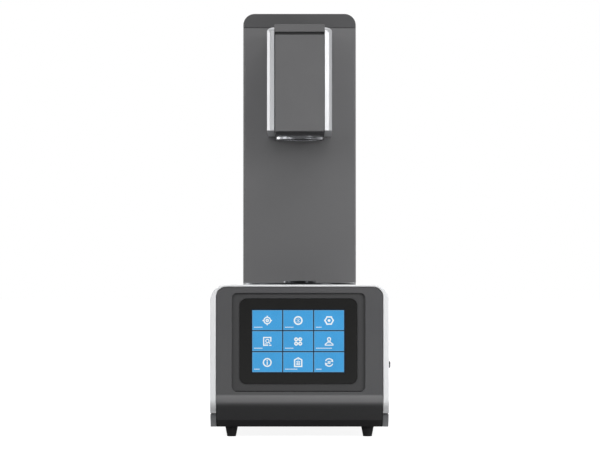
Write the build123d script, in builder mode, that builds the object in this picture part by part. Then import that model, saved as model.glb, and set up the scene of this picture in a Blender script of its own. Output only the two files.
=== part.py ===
from build123d import *
import os
from math import acos, cos, degrees, radians, sin, tan

os.makedirs("parts", exist_ok=True)

# Bench light transmittance meter: a base with a touch screen, a column, and a light head that
# shines straight down on the port in the deck. X is right, Y is to the rear and Z is up, in
# millimetres, with the origin on the bench under the middle of the base.

# Base body
body_width = 215.0
body_depth = 310.0
deck_height = 183.8
foot_height = 12.1
shell_corner = 19.2
shell_rim = 6.8
shell_wall = 3.0
shell_top = 2.5
shell_lip = 12.0
hollow_ease = 1.7
shell_edge_height = 29.1
seam_gap = 1.6
part_gap = 0.4
seat_gap = 0.2
hole_gap = 0.1
slide_gap = 0.3
edge_round = 0.8

# Rolled chin
roll_radius = 18.0
roll_height = 47.1
roll_proud = 0.6
roll_setback = 0.4
undercut = radians(37)
toe_height = 20.5
toe_run = 9.5
chin_depth = 29.0
chin_top = 60.0

# Front moulding and screen
fascia_wall = 3.0
fascia_lip = 11.0
screen_shift = -1.2
recess_side_margin = 27.0
recess_top_margin = 10.0
recess_bottom = 55.0
recess_corner = 6.6
recess_depth = 2.4
bed_margin = 3.0
bed_thickness = 4.4
glass_side_margin = 9.8
glass_top_margin = 6.65
glass_bottom_margin = 9.45
glass_corner = 8.4
glass_thickness = 2.0
glass_proud = 0.8
panel_side_margin = 10.2
panel_end_margin = 8.85
panel_thickness = 6.0
panel_corner = 1.0
bracket_thickness = 1.5
bracket_margin = 14.0
bracket_screw_margin = 8.0
chin_rib_pitch = 40.0
chin_rib_thickness = 2.0
chin_rib_top = 2.0

# Tray, feet and deck plate
floor_thickness = 2.5
tray_wall = 3.0
foot_side_inset = 25.1
foot_setback = 7.0
rear_foot_inset = 29.0
foot_top_radius = 7.6
foot_tip_radius = 5.3
stud_radius = 2.5
stud_depth = 6.0
boss_wall = 2.5
boss_height = 6.0
deck_plate_front_inset = 33.0
deck_plate_thickness = 6.0
deck_plate_corner = 6.0
pillar_radius = 6.0
pillar_side_inset = 27.5
pillar_end_inset = 55.0
pillar_screw_reach = 10.0
pillar_spigot = 3.5

# Rear panel and board
rear_panel_thickness = 2.5
rear_post_width = 8.0
rear_post_rise = 14.0
rear_screw_rise = 8.0
rear_screw_inset = 20.0
rear_screw_reach = 6.0
vent_length = 60.0
vent_width = 3.0
vent_pitch = 8.0
vent_count = 7
vent_drop = 58.0
vent_gap = 10.0
tray_vent_length = 36.0
tray_vent_depth = 130.0
tray_vent_count = 5
board_margin = 4.0
board_length = 100.0
board_thickness = 1.6
board_standoff = 14.0
board_inset = 12.0
board_hole_inset = 8.0
board_screw_reach = 8.0
chip_width = 20.0
chip_height = 2.0
chip_pitch = 30.0
chip_count = 3
chip_inset = 35.0
capacitor_radius = 5.0
capacitor_height = 16.0
capacitor_pitch = 14.0
capacitor_inset = 34.0
jack_width = 9.0
jack_height = 11.0
jack_length = 14.0
jack_edge_inset = 22.0
jack_bore = 3.2
jack_pin = 1.0
jack_floor = 4.0
socket_width = 12.0
socket_height = 11.0
socket_length = 16.0
socket_pitch = 23.0
socket_wall = 1.5
socket_tongue_gap = 2.0
socket_floor = 6.0

# Side button
button_inset = 28.0
button_height = 87.2
button_radius = 4.2
button_proud = 2.5
button_travel = 1.5
cap_dish = 0.4
bezel_radius = 6.2
bezel_flange = 7.2
bezel_proud = 0.8
collar_radius = 4.95
collar_thickness = 1.5
stem_radius = 1.5
stem_reach = 2.0
spring_room = 4.5
switch_base = 3.0
switch_corner = 1.0
terminal_pitch = 5.0
terminal_width = 3.0
terminal_thickness = 0.8
terminal_length = 6.0
switch_reach = 12.0
nut_width = 17.0
nut_thickness = 3.0

# Stage, port and sphere, all on the optical axis
axis_inset = 110.0
stage_radius = 70.0
stage_thickness = 2.3
stage_edge = 0.4
stage_screw_inset = 14.0
stage_screw_reach = 6.0
ring_radius = 20.5
ring_height = 2.4
port_radius = 13.0
spigot_radius = 17.0
spigot_depth = 5.0
running_gap = 0.05
throat_radius = 19.0
sphere_radius = 58.0
sphere_wall = 4.0
neck_radius = 30.0
neck_height = 3.0
equator_width = 8.0
equator_height = 3.0
trap_radius = 20.0
trap_length = 28.0
trap_bore = 13.0
trap_neck = 2.0
trap_flare = 3.0
trap_point = 8.0
detector_radius = 10.0
detector_length = 18.0
detector_rise = 18.0
detector_neck = 4.0
detector_boss_wall = 2.0
detector_window = 3.0
detector_bore_depth = 7.0

# Column
column_width = 143.3
column_depth = 80.0
column_inset = 200.0
column_height = 344.7
column_wall = 2.5
column_edge = 3.0
cap_height = 17.8
cap_corner = 14.6
cap_seam = 0.6
cap_lip = 8.0
cap_ledge = 1.0
cover_screw_start = 40.0
cover_screw_pitch = 115.0
cover_screw_rows = 3
spine_width = 90.0
spine_wall = 4.0
spine_lip = 12.0
spine_foot = 8.0
spine_ledge = 15.0
spine_bolt_inset = 8.0
spine_bolt_end_inset = 12.0

# Head
head_inset = 52.5
head_width = 79.3
head_rise = 187.1
head_height = 131.2
side_cover_width = 8.7
side_cover_rise = 1.2
side_cover_height = 126.5
side_cover_shoulder = 5.3
side_cover_round = 9.0
ridge_proud = 1.5
facet_width = 3.4
facet_fall = 2.8
visor_height = 9.0
groove_height = 3.6
side_cover_wall = 2.5
side_cover_nose = 7.5
cover_side_gap = 0.8
front_cover_thickness = 3.0
groove_depth = 4.0
cover_pin_radius = 2.0
cover_pin_shoulder = 3.5
cover_pin_reach = 2.5
cover_pin_side_inset = 8.0
cover_pin_end_inset = 14.0
housing_wall = 3.0
head_boss_width = 10.0
head_boss_depth = 8.0
head_boss_height = 14.0
head_screw_side_inset = 7.0
head_screw_front_inset = 14.0
head_screw_rear_inset = 10.0
head_screw_reach = 8.0
bottom_plate_thickness = 4.1
plate_corner = 2.0
lens_ring_radius = 28.9
lens_ring_height = 3.3
lens_mouth_depth = 2.5
lens_radius = 19.5
lens_thickness = 5.0
lens_sag = 2.0
retainer_width = 3.5
retainer_overlap = 2.0
retainer_thickness = 1.5
barrel_wall = 1.5
beam_radius = 15.0
arm_rise = 31.1
arm_thickness = 6.0
arm_margin = 1.85
arm_reach = 30.0
arm_flange_height = 62.0
arm_flange_rise = 10.0
arm_bolt_inset = 9.0
arm_bolt_side_inset = 8.0
rib_clearance = 4.0
holder_height = 24.0
holder_lip = 2.0
condenser_radius = 16.9
condenser_thickness = 5.5
lamp_board_inset = 2.0
lamp_board_thickness = 1.6
led_radius = 4.0
led_height = 2.0
sink_inset = 2.0
sink_corner = 3.0
sink_base = 5.0
sink_height = 44.0
fin_count = 7
fin_thickness = 2.0

# Fasteners: head radius, head height, shank radius
screw_small = (2.75, 1.6, 1.4)
screw_medium = (3.6, 2.4, 1.9)
screw_large = (5.0, 5.0, 3.0)
tip_room = 2.0

# Places worked out from the sizes
body_front = -body_depth / 2
body_rear = body_depth / 2
body_side = body_width / 2
opening_top = deck_height - shell_top
floor_top = foot_height + floor_thickness
fascia_side = body_side - shell_rim - part_gap
fascia_top = opening_top - part_gap
fascia_roll = body_front + roll_setback
fascia_face = fascia_roll + roll_proud
fascia_corner = shell_corner - shell_rim - part_gap
chin_rear = body_front + chin_depth
recess_width = body_width - 2 * recess_side_margin
recess_top = deck_height - recess_top_margin
recess_height = recess_top - recess_bottom
recess_middle = (recess_top + recess_bottom) / 2
glass_width = recess_width - 2 * glass_side_margin
glass_height = recess_height - glass_top_margin - glass_bottom_margin
glass_middle = recess_middle + (glass_bottom_margin - glass_top_margin) / 2
panel_width = glass_width - 2 * panel_side_margin
panel_height = glass_height - 2 * panel_end_margin
recess_floor = fascia_face + recess_depth
bed_rear = recess_floor + bed_thickness
glass_rear = recess_floor - glass_proud + glass_thickness
panel_rear = glass_rear + panel_thickness
bracket_rear = panel_rear + bracket_thickness
plate_bottom = opening_top - deck_plate_thickness
rear_panel_front = body_rear - tray_wall - seat_gap - rear_panel_thickness
tray_front = chin_rear + part_gap
cavity_front = tray_front + tray_wall
board_width = 2 * (body_side - pillar_side_inset - pillar_radius - board_margin)
board_rear = rear_panel_front - board_inset
board_front = board_rear - board_length
board_bottom = floor_top + board_standoff
board_top = board_bottom + board_thickness
jack_shift = board_width / 2 - jack_edge_inset
socket_shift = jack_shift - socket_pitch
axis_depth = body_front + axis_inset
stage_top = deck_height + stage_thickness
equator_radius = sphere_radius + equator_width
sphere_middle = plate_bottom - neck_height - (sphere_radius**2 - neck_radius**2) ** 0.5
column_front_face = body_front + column_inset
column_rear_face = column_front_face + column_depth
column_middle = column_front_face + column_depth / 2
column_top = deck_height + column_height
seam_height = column_top - cap_height
head_front = body_front + head_inset
head_bottom = deck_height + head_rise
arm_height = head_bottom + arm_rise
head_top = head_bottom + head_height
front_cover_width = head_width - 2 * (side_cover_width + cover_side_gap)
housing_side = head_width / 2 - side_cover_width - seat_gap / 2
plate_floor = head_bottom - bottom_plate_thickness
lens_floor = plate_floor - lens_ring_height
lens_mouth_radius = lens_radius + retainer_width
barrel_radius = lens_radius + barrel_wall
arm_top = arm_height + arm_thickness
arm_width = 2 * (housing_side - housing_wall - arm_margin)
sink_width = arm_width - 2 * sink_inset
holder_radius = sink_width / 2
lamp_board_radius = holder_radius - lamp_board_inset
spine_front = column_front_face + column_wall
spine_rear = column_rear_face - column_wall
spine_foot_width = spine_width + 2 * spine_ledge
button_depth = body_front + button_inset
optical_axis = Axis((0, axis_depth, 0), (0, 0, 1))

foot_rows = {"front": chin_rear + foot_setback, "rear": body_rear - rear_foot_inset}
foot_sides = {"left": foot_side_inset - body_side, "right": body_side - foot_side_inset}
foot_points = [(x, y) for x in foot_sides.values() for y in foot_rows.values()]
pillar_points = [
    (x * (body_side - pillar_side_inset), y * (body_rear - pillar_end_inset))
    for x in (-1, 1)
    for y in (-1, 1)
]


def level(z):
    # Flat plane at height z
    return Plane.XY.offset(z)


def across(y):
    # Upright plane at depth y, facing the front
    return Plane.XZ.offset(-y)


def beside(x):
    # Upright plane at x, facing right
    return Plane.YZ.offset(x)


def pane(low_x, high_x, low_y, high_y):
    # Rectangle in the current sketch, given by its four sides
    with Locations(((low_x + high_x) / 2, (low_y + high_y) / 2)):
        Rectangle(high_x - low_x, high_y - low_y)


def rounded_pane(middle_x, middle_y, width, height, corner):
    with Locations((middle_x, middle_y)):
        RectangleRounded(width, height, corner)


def arch(width, bottom, top, corner):
    # Upright outline with its two upper corners rounded
    pane(-width / 2, width / 2, bottom, top)
    fillet(vertices().group_by(Axis.Y)[-1], corner)


def base_outline(roll_front, proud, rear, top):
    # Side view of the base: upright face, roll, undercut and toe, with a square rear.
    # The roll stands ahead of the face by proud, and the two meet in a crease.
    middle = roll_front + roll_radius
    rise = acos(1 - proud / roll_radius)
    roll_end_height = roll_height - roll_radius * sin(undercut)
    roll_end = middle - roll_radius * cos(undercut)
    toe_start = roll_end + (roll_end_height - toe_height) * tan(undercut)
    toe_end = toe_start + toe_run
    with BuildLine() as side:
        roll = CenterArc(
            (middle, roll_height), roll_radius, 180 - degrees(rise), degrees(rise + undercut)
        )
        Polyline(
            roll @ 1,
            (toe_start, toe_height),
            (toe_end, foot_height),
            (rear, foot_height),
            (rear, top),
            (roll_front + proud, top),
            roll @ 0,
        )
    return side.edges()


def turned(outline):
    # Ring or disc about the optical axis, its outline given as radius and height
    with BuildSketch(across(axis_depth)) as half:
        with BuildLine():
            Polyline(*outline, close=True)
        make_face()
    revolve(half.sketch, axis=optical_axis)


def rods(plane, points, radius, length, mode=Mode.ADD):
    # Round bars or holes that start on the plane; a negative length runs behind it
    with BuildSketch(plane) as ends:
        with Locations(*points):
            Circle(radius)
    extrude(ends.sketch, amount=length, mode=mode)


def screws(seat, points, size, length, facing=1):
    # Six-sided heads stand on the seat plane and shanks run behind it, or the other way round
    # where facing is -1
    head_radius, head_height, shank_radius = size
    with BuildSketch(seat) as heads:
        with Locations(*points):
            RegularPolygon(head_radius, 6)
    extrude(heads.sketch, amount=facing * head_height)
    rods(seat, points, shank_radius, -facing * length)


def holes(seat, points, size, depth, facing=1):
    # Clearance holes for the shanks of screws
    rods(seat, points, size[2] + hole_gap, -facing * depth, mode=Mode.SUBTRACT)


# Outer shell: top and both sides in one piece, with a thick lip round each end
spine_bolt_x = spine_foot_width / 2 - spine_bolt_inset
spine_bolt_points = [
    (x * spine_bolt_x, y)
    for x in (-1, 1)
    for y in (spine_front + spine_bolt_end_inset, spine_rear - spine_bolt_end_inset)
]
stage_screw_circle = stage_radius - stage_screw_inset
stage_screw_points = [
    (stage_screw_circle * sin(radians(a)), axis_depth - stage_screw_circle * cos(radians(a)))
    for a in (60, 180, 300)
]

with BuildPart() as outer_shell:
    with BuildSketch(across(body_front)):
        arch(body_width, shell_edge_height, deck_height, shell_corner)
    extrude(amount=-body_depth)
    with BuildSketch(across(body_front)):
        arch(body_width - 2 * shell_rim, foot_height, opening_top, shell_corner - shell_rim)
    extrude(amount=-body_depth, mode=Mode.SUBTRACT)
    with BuildSketch(across(body_front + shell_lip)):
        hollow_corner = shell_corner - shell_wall - hollow_ease
        arch(body_width - 2 * shell_wall, foot_height, opening_top, hollow_corner)
    extrude(amount=-(body_depth - 2 * shell_lip), mode=Mode.SUBTRACT)
    fillet(outer_shell.edges().group_by(Axis.Y)[0], edge_round)
    with BuildSketch(Plane.YZ):
        make_face(base_outline(body_front, 0, body_rear, deck_height))
    extrude(amount=body_width, both=True, mode=Mode.INTERSECT)
    rods(level(deck_height), [(0, axis_depth)], throat_radius, -2 * shell_top, Mode.SUBTRACT)
    holes(level(deck_height), spine_bolt_points, screw_large, 2 * shell_top)
    holes(level(deck_height), stage_screw_points, screw_small, 2 * shell_top)
    rods(
        beside(body_side),
        [(button_depth, button_height)],
        bezel_radius + hole_gap,
        -2 * shell_wall,
        Mode.SUBTRACT,
    )
outer_shell.part.label = "outer_shell"
export_step(outer_shell.part, "parts/outer_shell.step")

# Bottom tray: pan with skirts under the cheeks, an open bay for the chin and bosses on its floor
skirt_top = shell_edge_height - seam_gap
tray_hollow_rear = body_rear - tray_wall
board_hole_points = [
    (x * (board_width / 2 - board_hole_inset), y)
    for x in (-1, 1)
    for y in (board_front + board_hole_inset, board_rear - board_hole_inset)
]
tray_vent_points = [
    ((i - (tray_vent_count - 1) / 2) * vent_pitch, axis_depth + tray_vent_depth)
    for i in range(tray_vent_count)
]
rear_screw_x = fascia_side - rear_screw_inset
rear_screw_depth = rear_screw_reach + tip_room
rear_screw_points = [
    (x * rear_screw_x, z)
    for x in (-1, 1)
    for z in (skirt_top + rear_screw_rise, opening_top - deck_plate_thickness / 2)
]

with BuildPart() as bottom_tray:
    with BuildSketch(Plane.YZ):
        make_face(base_outline(body_front, 0, body_rear, deck_height))
    extrude(amount=body_side, both=True)
    with BuildSketch(level(skirt_top)):
        pane(-body_side, body_side, body_front, body_rear)
    extrude(amount=deck_height, mode=Mode.SUBTRACT)
    with BuildSketch(level(floor_top)):
        pane(-body_side + tray_wall, body_side - tray_wall, cavity_front, tray_hollow_rear)
    extrude(amount=skirt_top, mode=Mode.SUBTRACT)
    with BuildSketch(level(0)):
        bay_side = fascia_side + part_gap
        pane(-bay_side, bay_side, body_front - roll_radius, tray_front)
    extrude(amount=deck_height, mode=Mode.SUBTRACT)
    rods(level(floor_top), foot_points, stud_radius + boss_wall, boss_height)
    rods(level(floor_top), board_hole_points, screw_small[2] + boss_wall, board_standoff)
    with BuildSketch(level(floor_top)):
        for post_side in (-1, 1):
            with Locations((post_side * rear_screw_x, rear_panel_front - rear_post_width / 2)):
                Rectangle(rear_post_width, rear_post_width)
    extrude(amount=skirt_top + rear_post_rise - floor_top)
    holes(across(rear_panel_front), rear_screw_points, screw_small, rear_screw_depth, facing=-1)
    rods(level(0), foot_points, stud_radius + hole_gap, deck_height, Mode.SUBTRACT)
    holes(level(board_bottom), board_hole_points, screw_small, board_standoff - floor_thickness)
    holes(level(floor_top), pillar_points, screw_medium, 2 * floor_thickness)
    with BuildSketch(level(foot_height)):
        with Locations(*tray_vent_points):
            SlotOverall(tray_vent_length, vent_width, rotation=90)
    extrude(amount=floor_thickness, mode=Mode.SUBTRACT)
bottom_tray.part.label = "bottom_tray"
export_step(bottom_tray.part, "parts/bottom_tray.step")

# Front fascia: pan moulding with the screen recess, a bed behind it, and the rolled chin
with BuildPart() as fascia_hollow:
    with BuildSketch(Plane.YZ):
        make_face(base_outline(fascia_roll, roll_proud, chin_rear + 2 * fascia_wall, fascia_top))
        offset(amount=-fascia_wall, kind=Kind.ARC)
    extrude(amount=fascia_side - fascia_wall, both=True)
    hollow_top = fascia_hollow.edges().filter_by(Axis.Y).group_by(Axis.Z)[-1]
    fillet(hollow_top, fascia_corner - fascia_wall)
    # Slots left out of the hollow stay behind as stiffening ribs inside the chin
    for rib in range(-2, 3):
        with BuildSketch(beside(rib * chin_rib_pitch - chin_rib_thickness / 2)):
            with BuildLine():
                Polyline(
                    (body_front, roll_height + chin_rib_top),
                    (fascia_face + fascia_wall + chin_rib_top, roll_height + chin_rib_top),
                    (chin_rear, foot_height + fascia_wall),
                    (chin_rear, 0),
                    (body_front, 0),
                    close=True,
                )
            make_face()
        extrude(amount=chin_rib_thickness, mode=Mode.SUBTRACT)

bracket_screw_side = panel_width / 2 + bracket_screw_margin
bracket_screw_end = panel_height / 2 + bracket_screw_margin
bracket_screw_points = [
    (screen_shift + x * bracket_screw_side, glass_middle + y * bracket_screw_end)
    for x in (-1, 1)
    for y in (-1, 1)
]
with BuildPart() as front_fascia:
    with BuildSketch(Plane.YZ):
        make_face(base_outline(fascia_roll, roll_proud, chin_rear, fascia_top))
    extrude(amount=fascia_side, both=True)
    fillet(front_fascia.edges().filter_by(Axis.Y).group_by(Axis.Z)[-1], fascia_corner)
    add(fascia_hollow.part, mode=Mode.SUBTRACT)
    with BuildSketch(level(chin_top)):
        pane(-body_side, body_side, fascia_face + fascia_lip, chin_rear + part_gap)
    extrude(amount=deck_height, mode=Mode.SUBTRACT)
    with BuildSketch(across(recess_floor)):
        rounded_pane(
            screen_shift,
            recess_middle,
            recess_width + 2 * bed_margin,
            recess_height + 2 * bed_margin,
            recess_corner + bed_margin,
        )
    extrude(amount=-bed_thickness)
    rods(across(bed_rear), bracket_screw_points, screw_small[2] + boss_wall, bed_rear - panel_rear)
    with BuildSketch(across(recess_floor)):
        rounded_pane(screen_shift, recess_middle, recess_width, recess_height, recess_corner)
    extrude(amount=2 * recess_depth, mode=Mode.SUBTRACT)
    with BuildSketch(across(glass_rear)):
        rounded_pane(
            screen_shift,
            glass_middle,
            glass_width + 2 * seat_gap,
            glass_height + 2 * seat_gap,
            glass_corner + seat_gap,
        )
    extrude(amount=glass_thickness, mode=Mode.SUBTRACT)
    with BuildSketch(across(bed_rear)):
        pane(
            screen_shift - panel_width / 2 - seat_gap,
            screen_shift + panel_width / 2 + seat_gap,
            glass_middle - panel_height / 2 - seat_gap,
            glass_middle + panel_height / 2 + seat_gap,
        )
    extrude(amount=bed_thickness, mode=Mode.SUBTRACT)
    holes(across(panel_rear), bracket_screw_points, screw_small, bed_thickness, facing=-1)
front_fascia.part.label = "front_fascia"
export_step(front_fascia.part, "parts/front_fascia.step")

# Cover glass, lit panel behind it, and the sheet bracket that holds the panel
with BuildPart() as cover_glass:
    with BuildSketch(across(glass_rear)):
        rounded_pane(screen_shift, glass_middle, glass_width, glass_height, glass_corner)
    extrude(amount=glass_thickness)
cover_glass.part.label = "cover_glass"
export_step(cover_glass.part, "parts/cover_glass.step")

with BuildPart() as display_panel:
    with BuildSketch(across(panel_rear)):
        rounded_pane(screen_shift, glass_middle, panel_width, panel_height, panel_corner)
    extrude(amount=panel_thickness)
display_panel.part.label = "display_panel"
export_step(display_panel.part, "parts/display_panel.step")

with BuildPart() as display_bracket:
    with BuildSketch(across(bracket_rear)):
        rounded_pane(
            screen_shift,
            glass_middle,
            panel_width + 2 * bracket_margin,
            panel_height + 2 * bracket_margin,
            recess_corner,
        )
        with Locations((screen_shift, glass_middle)):
            Rectangle(
                panel_width - 2 * bracket_margin,
                panel_height - 2 * bracket_margin,
                mode=Mode.SUBTRACT,
            )
    extrude(amount=bracket_thickness)
    holes(across(bracket_rear), bracket_screw_points, screw_small, 2 * bracket_thickness, facing=-1)
display_bracket.part.label = "display_bracket"
export_step(display_bracket.part, "parts/display_bracket.step")

with BuildPart() as bracket_screws:
    screw_reach = bracket_thickness + panel_rear - bed_rear
    screws(across(bracket_rear), bracket_screw_points, screw_small, screw_reach, facing=-1)
bracket_screws.part.label = "bracket_screws"
export_step(bracket_screws.part, "parts/bracket_screws.step")

# Tapered rubber feet, each with a steel stud that screws up into a boss of the tray
for end, foot_y in foot_rows.items():
    for side, foot_x in foot_sides.items():
        with BuildPart() as foot:
            for foot_z, foot_radius in ((0, foot_tip_radius), (foot_height, foot_top_radius)):
                with BuildSketch(level(foot_z)):
                    with Locations((foot_x, foot_y)):
                        Circle(foot_radius)
            loft()
            fillet(foot.edges().group_by(Axis.Z)[0], edge_round)
            rods(
                level(foot_height),
                [(foot_x, foot_y)],
                stud_radius + running_gap,
                -stud_depth,
                Mode.SUBTRACT,
            )
        foot.part.label = f"{end}_{side}_foot"
        export_step(foot.part, f"parts/{end}_{side}_foot.step")

with BuildPart() as foot_studs:
    stud_length = stud_depth + floor_thickness + boss_height
    rods(level(foot_height - stud_depth), foot_points, stud_radius, stud_length)
foot_studs.part.label = "foot_studs"
export_step(foot_studs.part, "parts/foot_studs.step")

# Deck plate under the shell's deck: it carries the column, the stage and the sphere
with BuildPart() as deck_plate:
    with BuildSketch(level(plate_bottom)):
        plate_side = body_side - shell_corner - part_gap
        pane(-plate_side, plate_side, body_front + deck_plate_front_inset, rear_panel_front)
        fillet(vertices(), deck_plate_corner)
    extrude(amount=deck_plate_thickness)
    rods(level(opening_top), [(0, axis_depth)], throat_radius, -deck_plate_thickness, Mode.SUBTRACT)
    holes(level(opening_top), spine_bolt_points, screw_large, deck_plate_thickness)
    holes(level(opening_top), stage_screw_points, screw_small, deck_plate_thickness)
    holes(level(plate_bottom), pillar_points, screw_medium, pillar_spigot + seat_gap, facing=-1)
    holes(across(rear_panel_front), rear_screw_points, screw_small, rear_screw_depth, facing=-1)
deck_plate.part.label = "deck_plate"
export_step(deck_plate.part, "parts/deck_plate.step")

with BuildPart() as deck_pillars:
    rods(level(floor_top), pillar_points, pillar_radius, plate_bottom - floor_top)
    rods(level(plate_bottom), pillar_points, screw_medium[2], pillar_spigot)
    pillar_bore = pillar_screw_reach + tip_room
    holes(level(floor_top), pillar_points, screw_medium, pillar_bore, facing=-1)
deck_pillars.part.label = "deck_pillars"
export_step(deck_pillars.part, "parts/deck_pillars.step")

with BuildPart() as pillar_screws:
    pillar_screw_length = floor_thickness + pillar_screw_reach
    screws(level(foot_height), pillar_points, screw_medium, pillar_screw_length, facing=-1)
pillar_screws.part.label = "pillar_screws"
export_step(pillar_screws.part, "parts/pillar_screws.step")

# Rear panel, inset between the cheeks, with vents and the two socket windows
jack_middle = board_top + jack_height / 2
socket_middle = board_top + socket_height / 2
with BuildPart() as rear_panel:
    with BuildSketch(across(rear_panel_front)):
        arch(2 * fascia_side, floor_top + seat_gap, fascia_top, fascia_corner)
    extrude(amount=-rear_panel_thickness)
    with BuildSketch(across(rear_panel_front)):
        with Locations((0, deck_height - vent_drop)):
            with GridLocations(vent_length + vent_gap, vent_pitch, 2, vent_count):
                SlotOverall(vent_length, vent_width)
        with Locations((jack_shift, jack_middle)):
            Rectangle(jack_width + 2 * seat_gap, jack_height + 2 * seat_gap)
        with Locations((socket_shift, socket_middle)):
            Rectangle(socket_width + 2 * seat_gap, socket_height + 2 * seat_gap)
    extrude(amount=-rear_panel_thickness, mode=Mode.SUBTRACT)
    holes(across(rear_panel_front), rear_screw_points, screw_small, rear_panel_thickness)
rear_panel.part.label = "rear_panel"
export_step(rear_panel.part, "parts/rear_panel.step")

with BuildPart() as rear_screws:
    screws(
        across(rear_panel_front + rear_panel_thickness),
        rear_screw_points,
        screw_small,
        rear_panel_thickness + rear_screw_reach,
        facing=-1,
    )
rear_screws.part.label = "rear_screws"
export_step(rear_screws.part, "parts/rear_screws.step")

# Main board on the tray's standoffs, with its larger parts, and the two sockets on its rear edge
with BuildPart() as main_board:
    with BuildSketch(level(board_bottom)):
        pane(-board_width / 2, board_width / 2, board_front, board_rear)
    extrude(amount=board_thickness)
    holes(level(board_top), board_hole_points, screw_small, board_thickness)
    with BuildSketch(level(board_top)):
        with Locations((0, board_front + chip_inset)):
            with GridLocations(chip_pitch, 0, chip_count, 1):
                Rectangle(chip_width, chip_width)
    extrude(amount=chip_height)
    capacitor_points = [
        (jack_shift - i * capacitor_pitch, board_rear - capacitor_inset) for i in range(2)
    ]
    rods(level(board_top), capacitor_points, capacitor_radius, capacitor_height)
main_board.part.label = "main_board"
export_step(main_board.part, "parts/main_board.step")

with BuildPart() as board_screws:
    board_screw_length = board_thickness + board_screw_reach
    screws(level(board_top), board_hole_points, screw_small, board_screw_length)
board_screws.part.label = "board_screws"
export_step(board_screws.part, "parts/board_screws.step")

socket_face = rear_panel_front + rear_panel_thickness
with BuildPart() as power_jack:
    with BuildSketch(across(socket_face)):
        with Locations((jack_shift, jack_middle)):
            Rectangle(jack_width, jack_height)
    extrude(amount=jack_length + board_inset - rear_panel_thickness)
    jack_axis = [(jack_shift, jack_middle)]
    jack_depth = jack_length - jack_floor
    rods(across(socket_face), jack_axis, jack_bore, jack_depth, Mode.SUBTRACT)
    rods(across(socket_face - jack_depth), jack_axis, jack_pin, -jack_depth)
power_jack.part.label = "power_jack"
export_step(power_jack.part, "parts/power_jack.step")

with BuildPart() as data_socket:
    with BuildSketch(across(socket_face)):
        with Locations((socket_shift, socket_middle)):
            Rectangle(socket_width, socket_height)
    extrude(amount=socket_length + board_inset - rear_panel_thickness)
    with BuildSketch(across(socket_face)):
        with Locations((socket_shift, socket_middle)):
            mouth = Rectangle(socket_width - 2 * socket_wall, socket_height - 2 * socket_wall)
            offset(mouth, amount=-socket_tongue_gap, mode=Mode.SUBTRACT)
    extrude(amount=socket_length - socket_floor, mode=Mode.SUBTRACT)
data_socket.part.label = "data_socket"
export_step(data_socket.part, "parts/data_socket.step")

# Stage plate: polished disc on the deck, with the port's seat in its middle
with BuildPart() as stage_plate:
    rods(level(deck_height), [(0, axis_depth)], stage_radius, stage_thickness)
    top_edge = stage_plate.edges().group_by(Axis.Z)[-1]
    chamfer(top_edge, stage_edge)
    seat_radius = spigot_radius + slide_gap
    rods(level(stage_top), [(0, axis_depth)], seat_radius, -stage_thickness, Mode.SUBTRACT)
    holes(level(stage_top), stage_screw_points, screw_small, stage_thickness)
    rods(
        level(stage_top),
        stage_screw_points,
        screw_small[0] + hole_gap,
        -screw_small[1],
        Mode.SUBTRACT,
    )
stage_plate.part.label = "stage_plate"
export_step(stage_plate.part, "parts/stage_plate.step")

with BuildPart() as stage_screws:
    screws(level(stage_top - screw_small[1]), stage_screw_points, screw_small, stage_screw_reach)
stage_screws.part.label = "stage_screws"
export_step(stage_screws.part, "parts/stage_screws.step")

# Port ring: polished collar with a flared aperture and a spigot that drops into the stage
ring_seat = stage_top + running_gap
ring_top = ring_seat + ring_height
with BuildPart() as port_ring:
    turned([
        (port_radius, ring_seat - spigot_depth),
        (spigot_radius, ring_seat - spigot_depth),
        (spigot_radius, ring_seat),
        (ring_radius, ring_seat),
        (ring_radius, ring_top - stage_edge),
        (ring_radius - stage_edge, ring_top),
        (port_radius + ring_height, ring_top),
        (port_radius, ring_seat),
    ])
port_ring.part.label = "port_ring"
export_step(port_ring.part, "parts/port_ring.step")

# Integrating sphere under the deck plate, in two halves that bolt together at the equator
sphere_bore = sphere_radius - sphere_wall
sphere_centre = (0, axis_depth, sphere_middle)
detector_seat = sphere_radius + detector_neck
detector_place = (axis_depth, sphere_middle + detector_rise)
sphere_screw_circle = equator_radius - equator_width / 2
sphere_screw_points = [
    (sphere_screw_circle * cos(radians(a)), axis_depth + sphere_screw_circle * sin(radians(a)))
    for a in (45, 135, 225, 315)
]

with BuildPart() as sphere_upper:
    with Locations(sphere_centre):
        Sphere(sphere_radius)
    rods(level(plate_bottom), [(0, axis_depth)], neck_radius, -2 * neck_height)
    rods(level(sphere_middle), [(0, axis_depth)], equator_radius, equator_height)
    detector_boss = detector_radius + detector_boss_wall
    rods(beside(-detector_seat), [detector_place], detector_boss, detector_seat)
    with Locations(sphere_centre):
        Sphere(sphere_bore, mode=Mode.SUBTRACT)
    rods(level(sphere_middle), [(0, axis_depth)], 2 * equator_radius, -sphere_radius, Mode.SUBTRACT)
    rods(level(plate_bottom), [(0, axis_depth)], sphere_radius, sphere_radius, Mode.SUBTRACT)
    rods(level(plate_bottom), [(0, axis_depth)], throat_radius, -sphere_wall * 3, Mode.SUBTRACT)
    detector_reach = sphere_radius / 2
    rods(beside(-detector_seat), [detector_place], detector_window, detector_reach, Mode.SUBTRACT)
    holes(level(sphere_middle), sphere_screw_points, screw_small, equator_height, facing=-1)
sphere_upper.part.label = "sphere_upper"
export_step(sphere_upper.part, "parts/sphere_upper.step")

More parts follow.
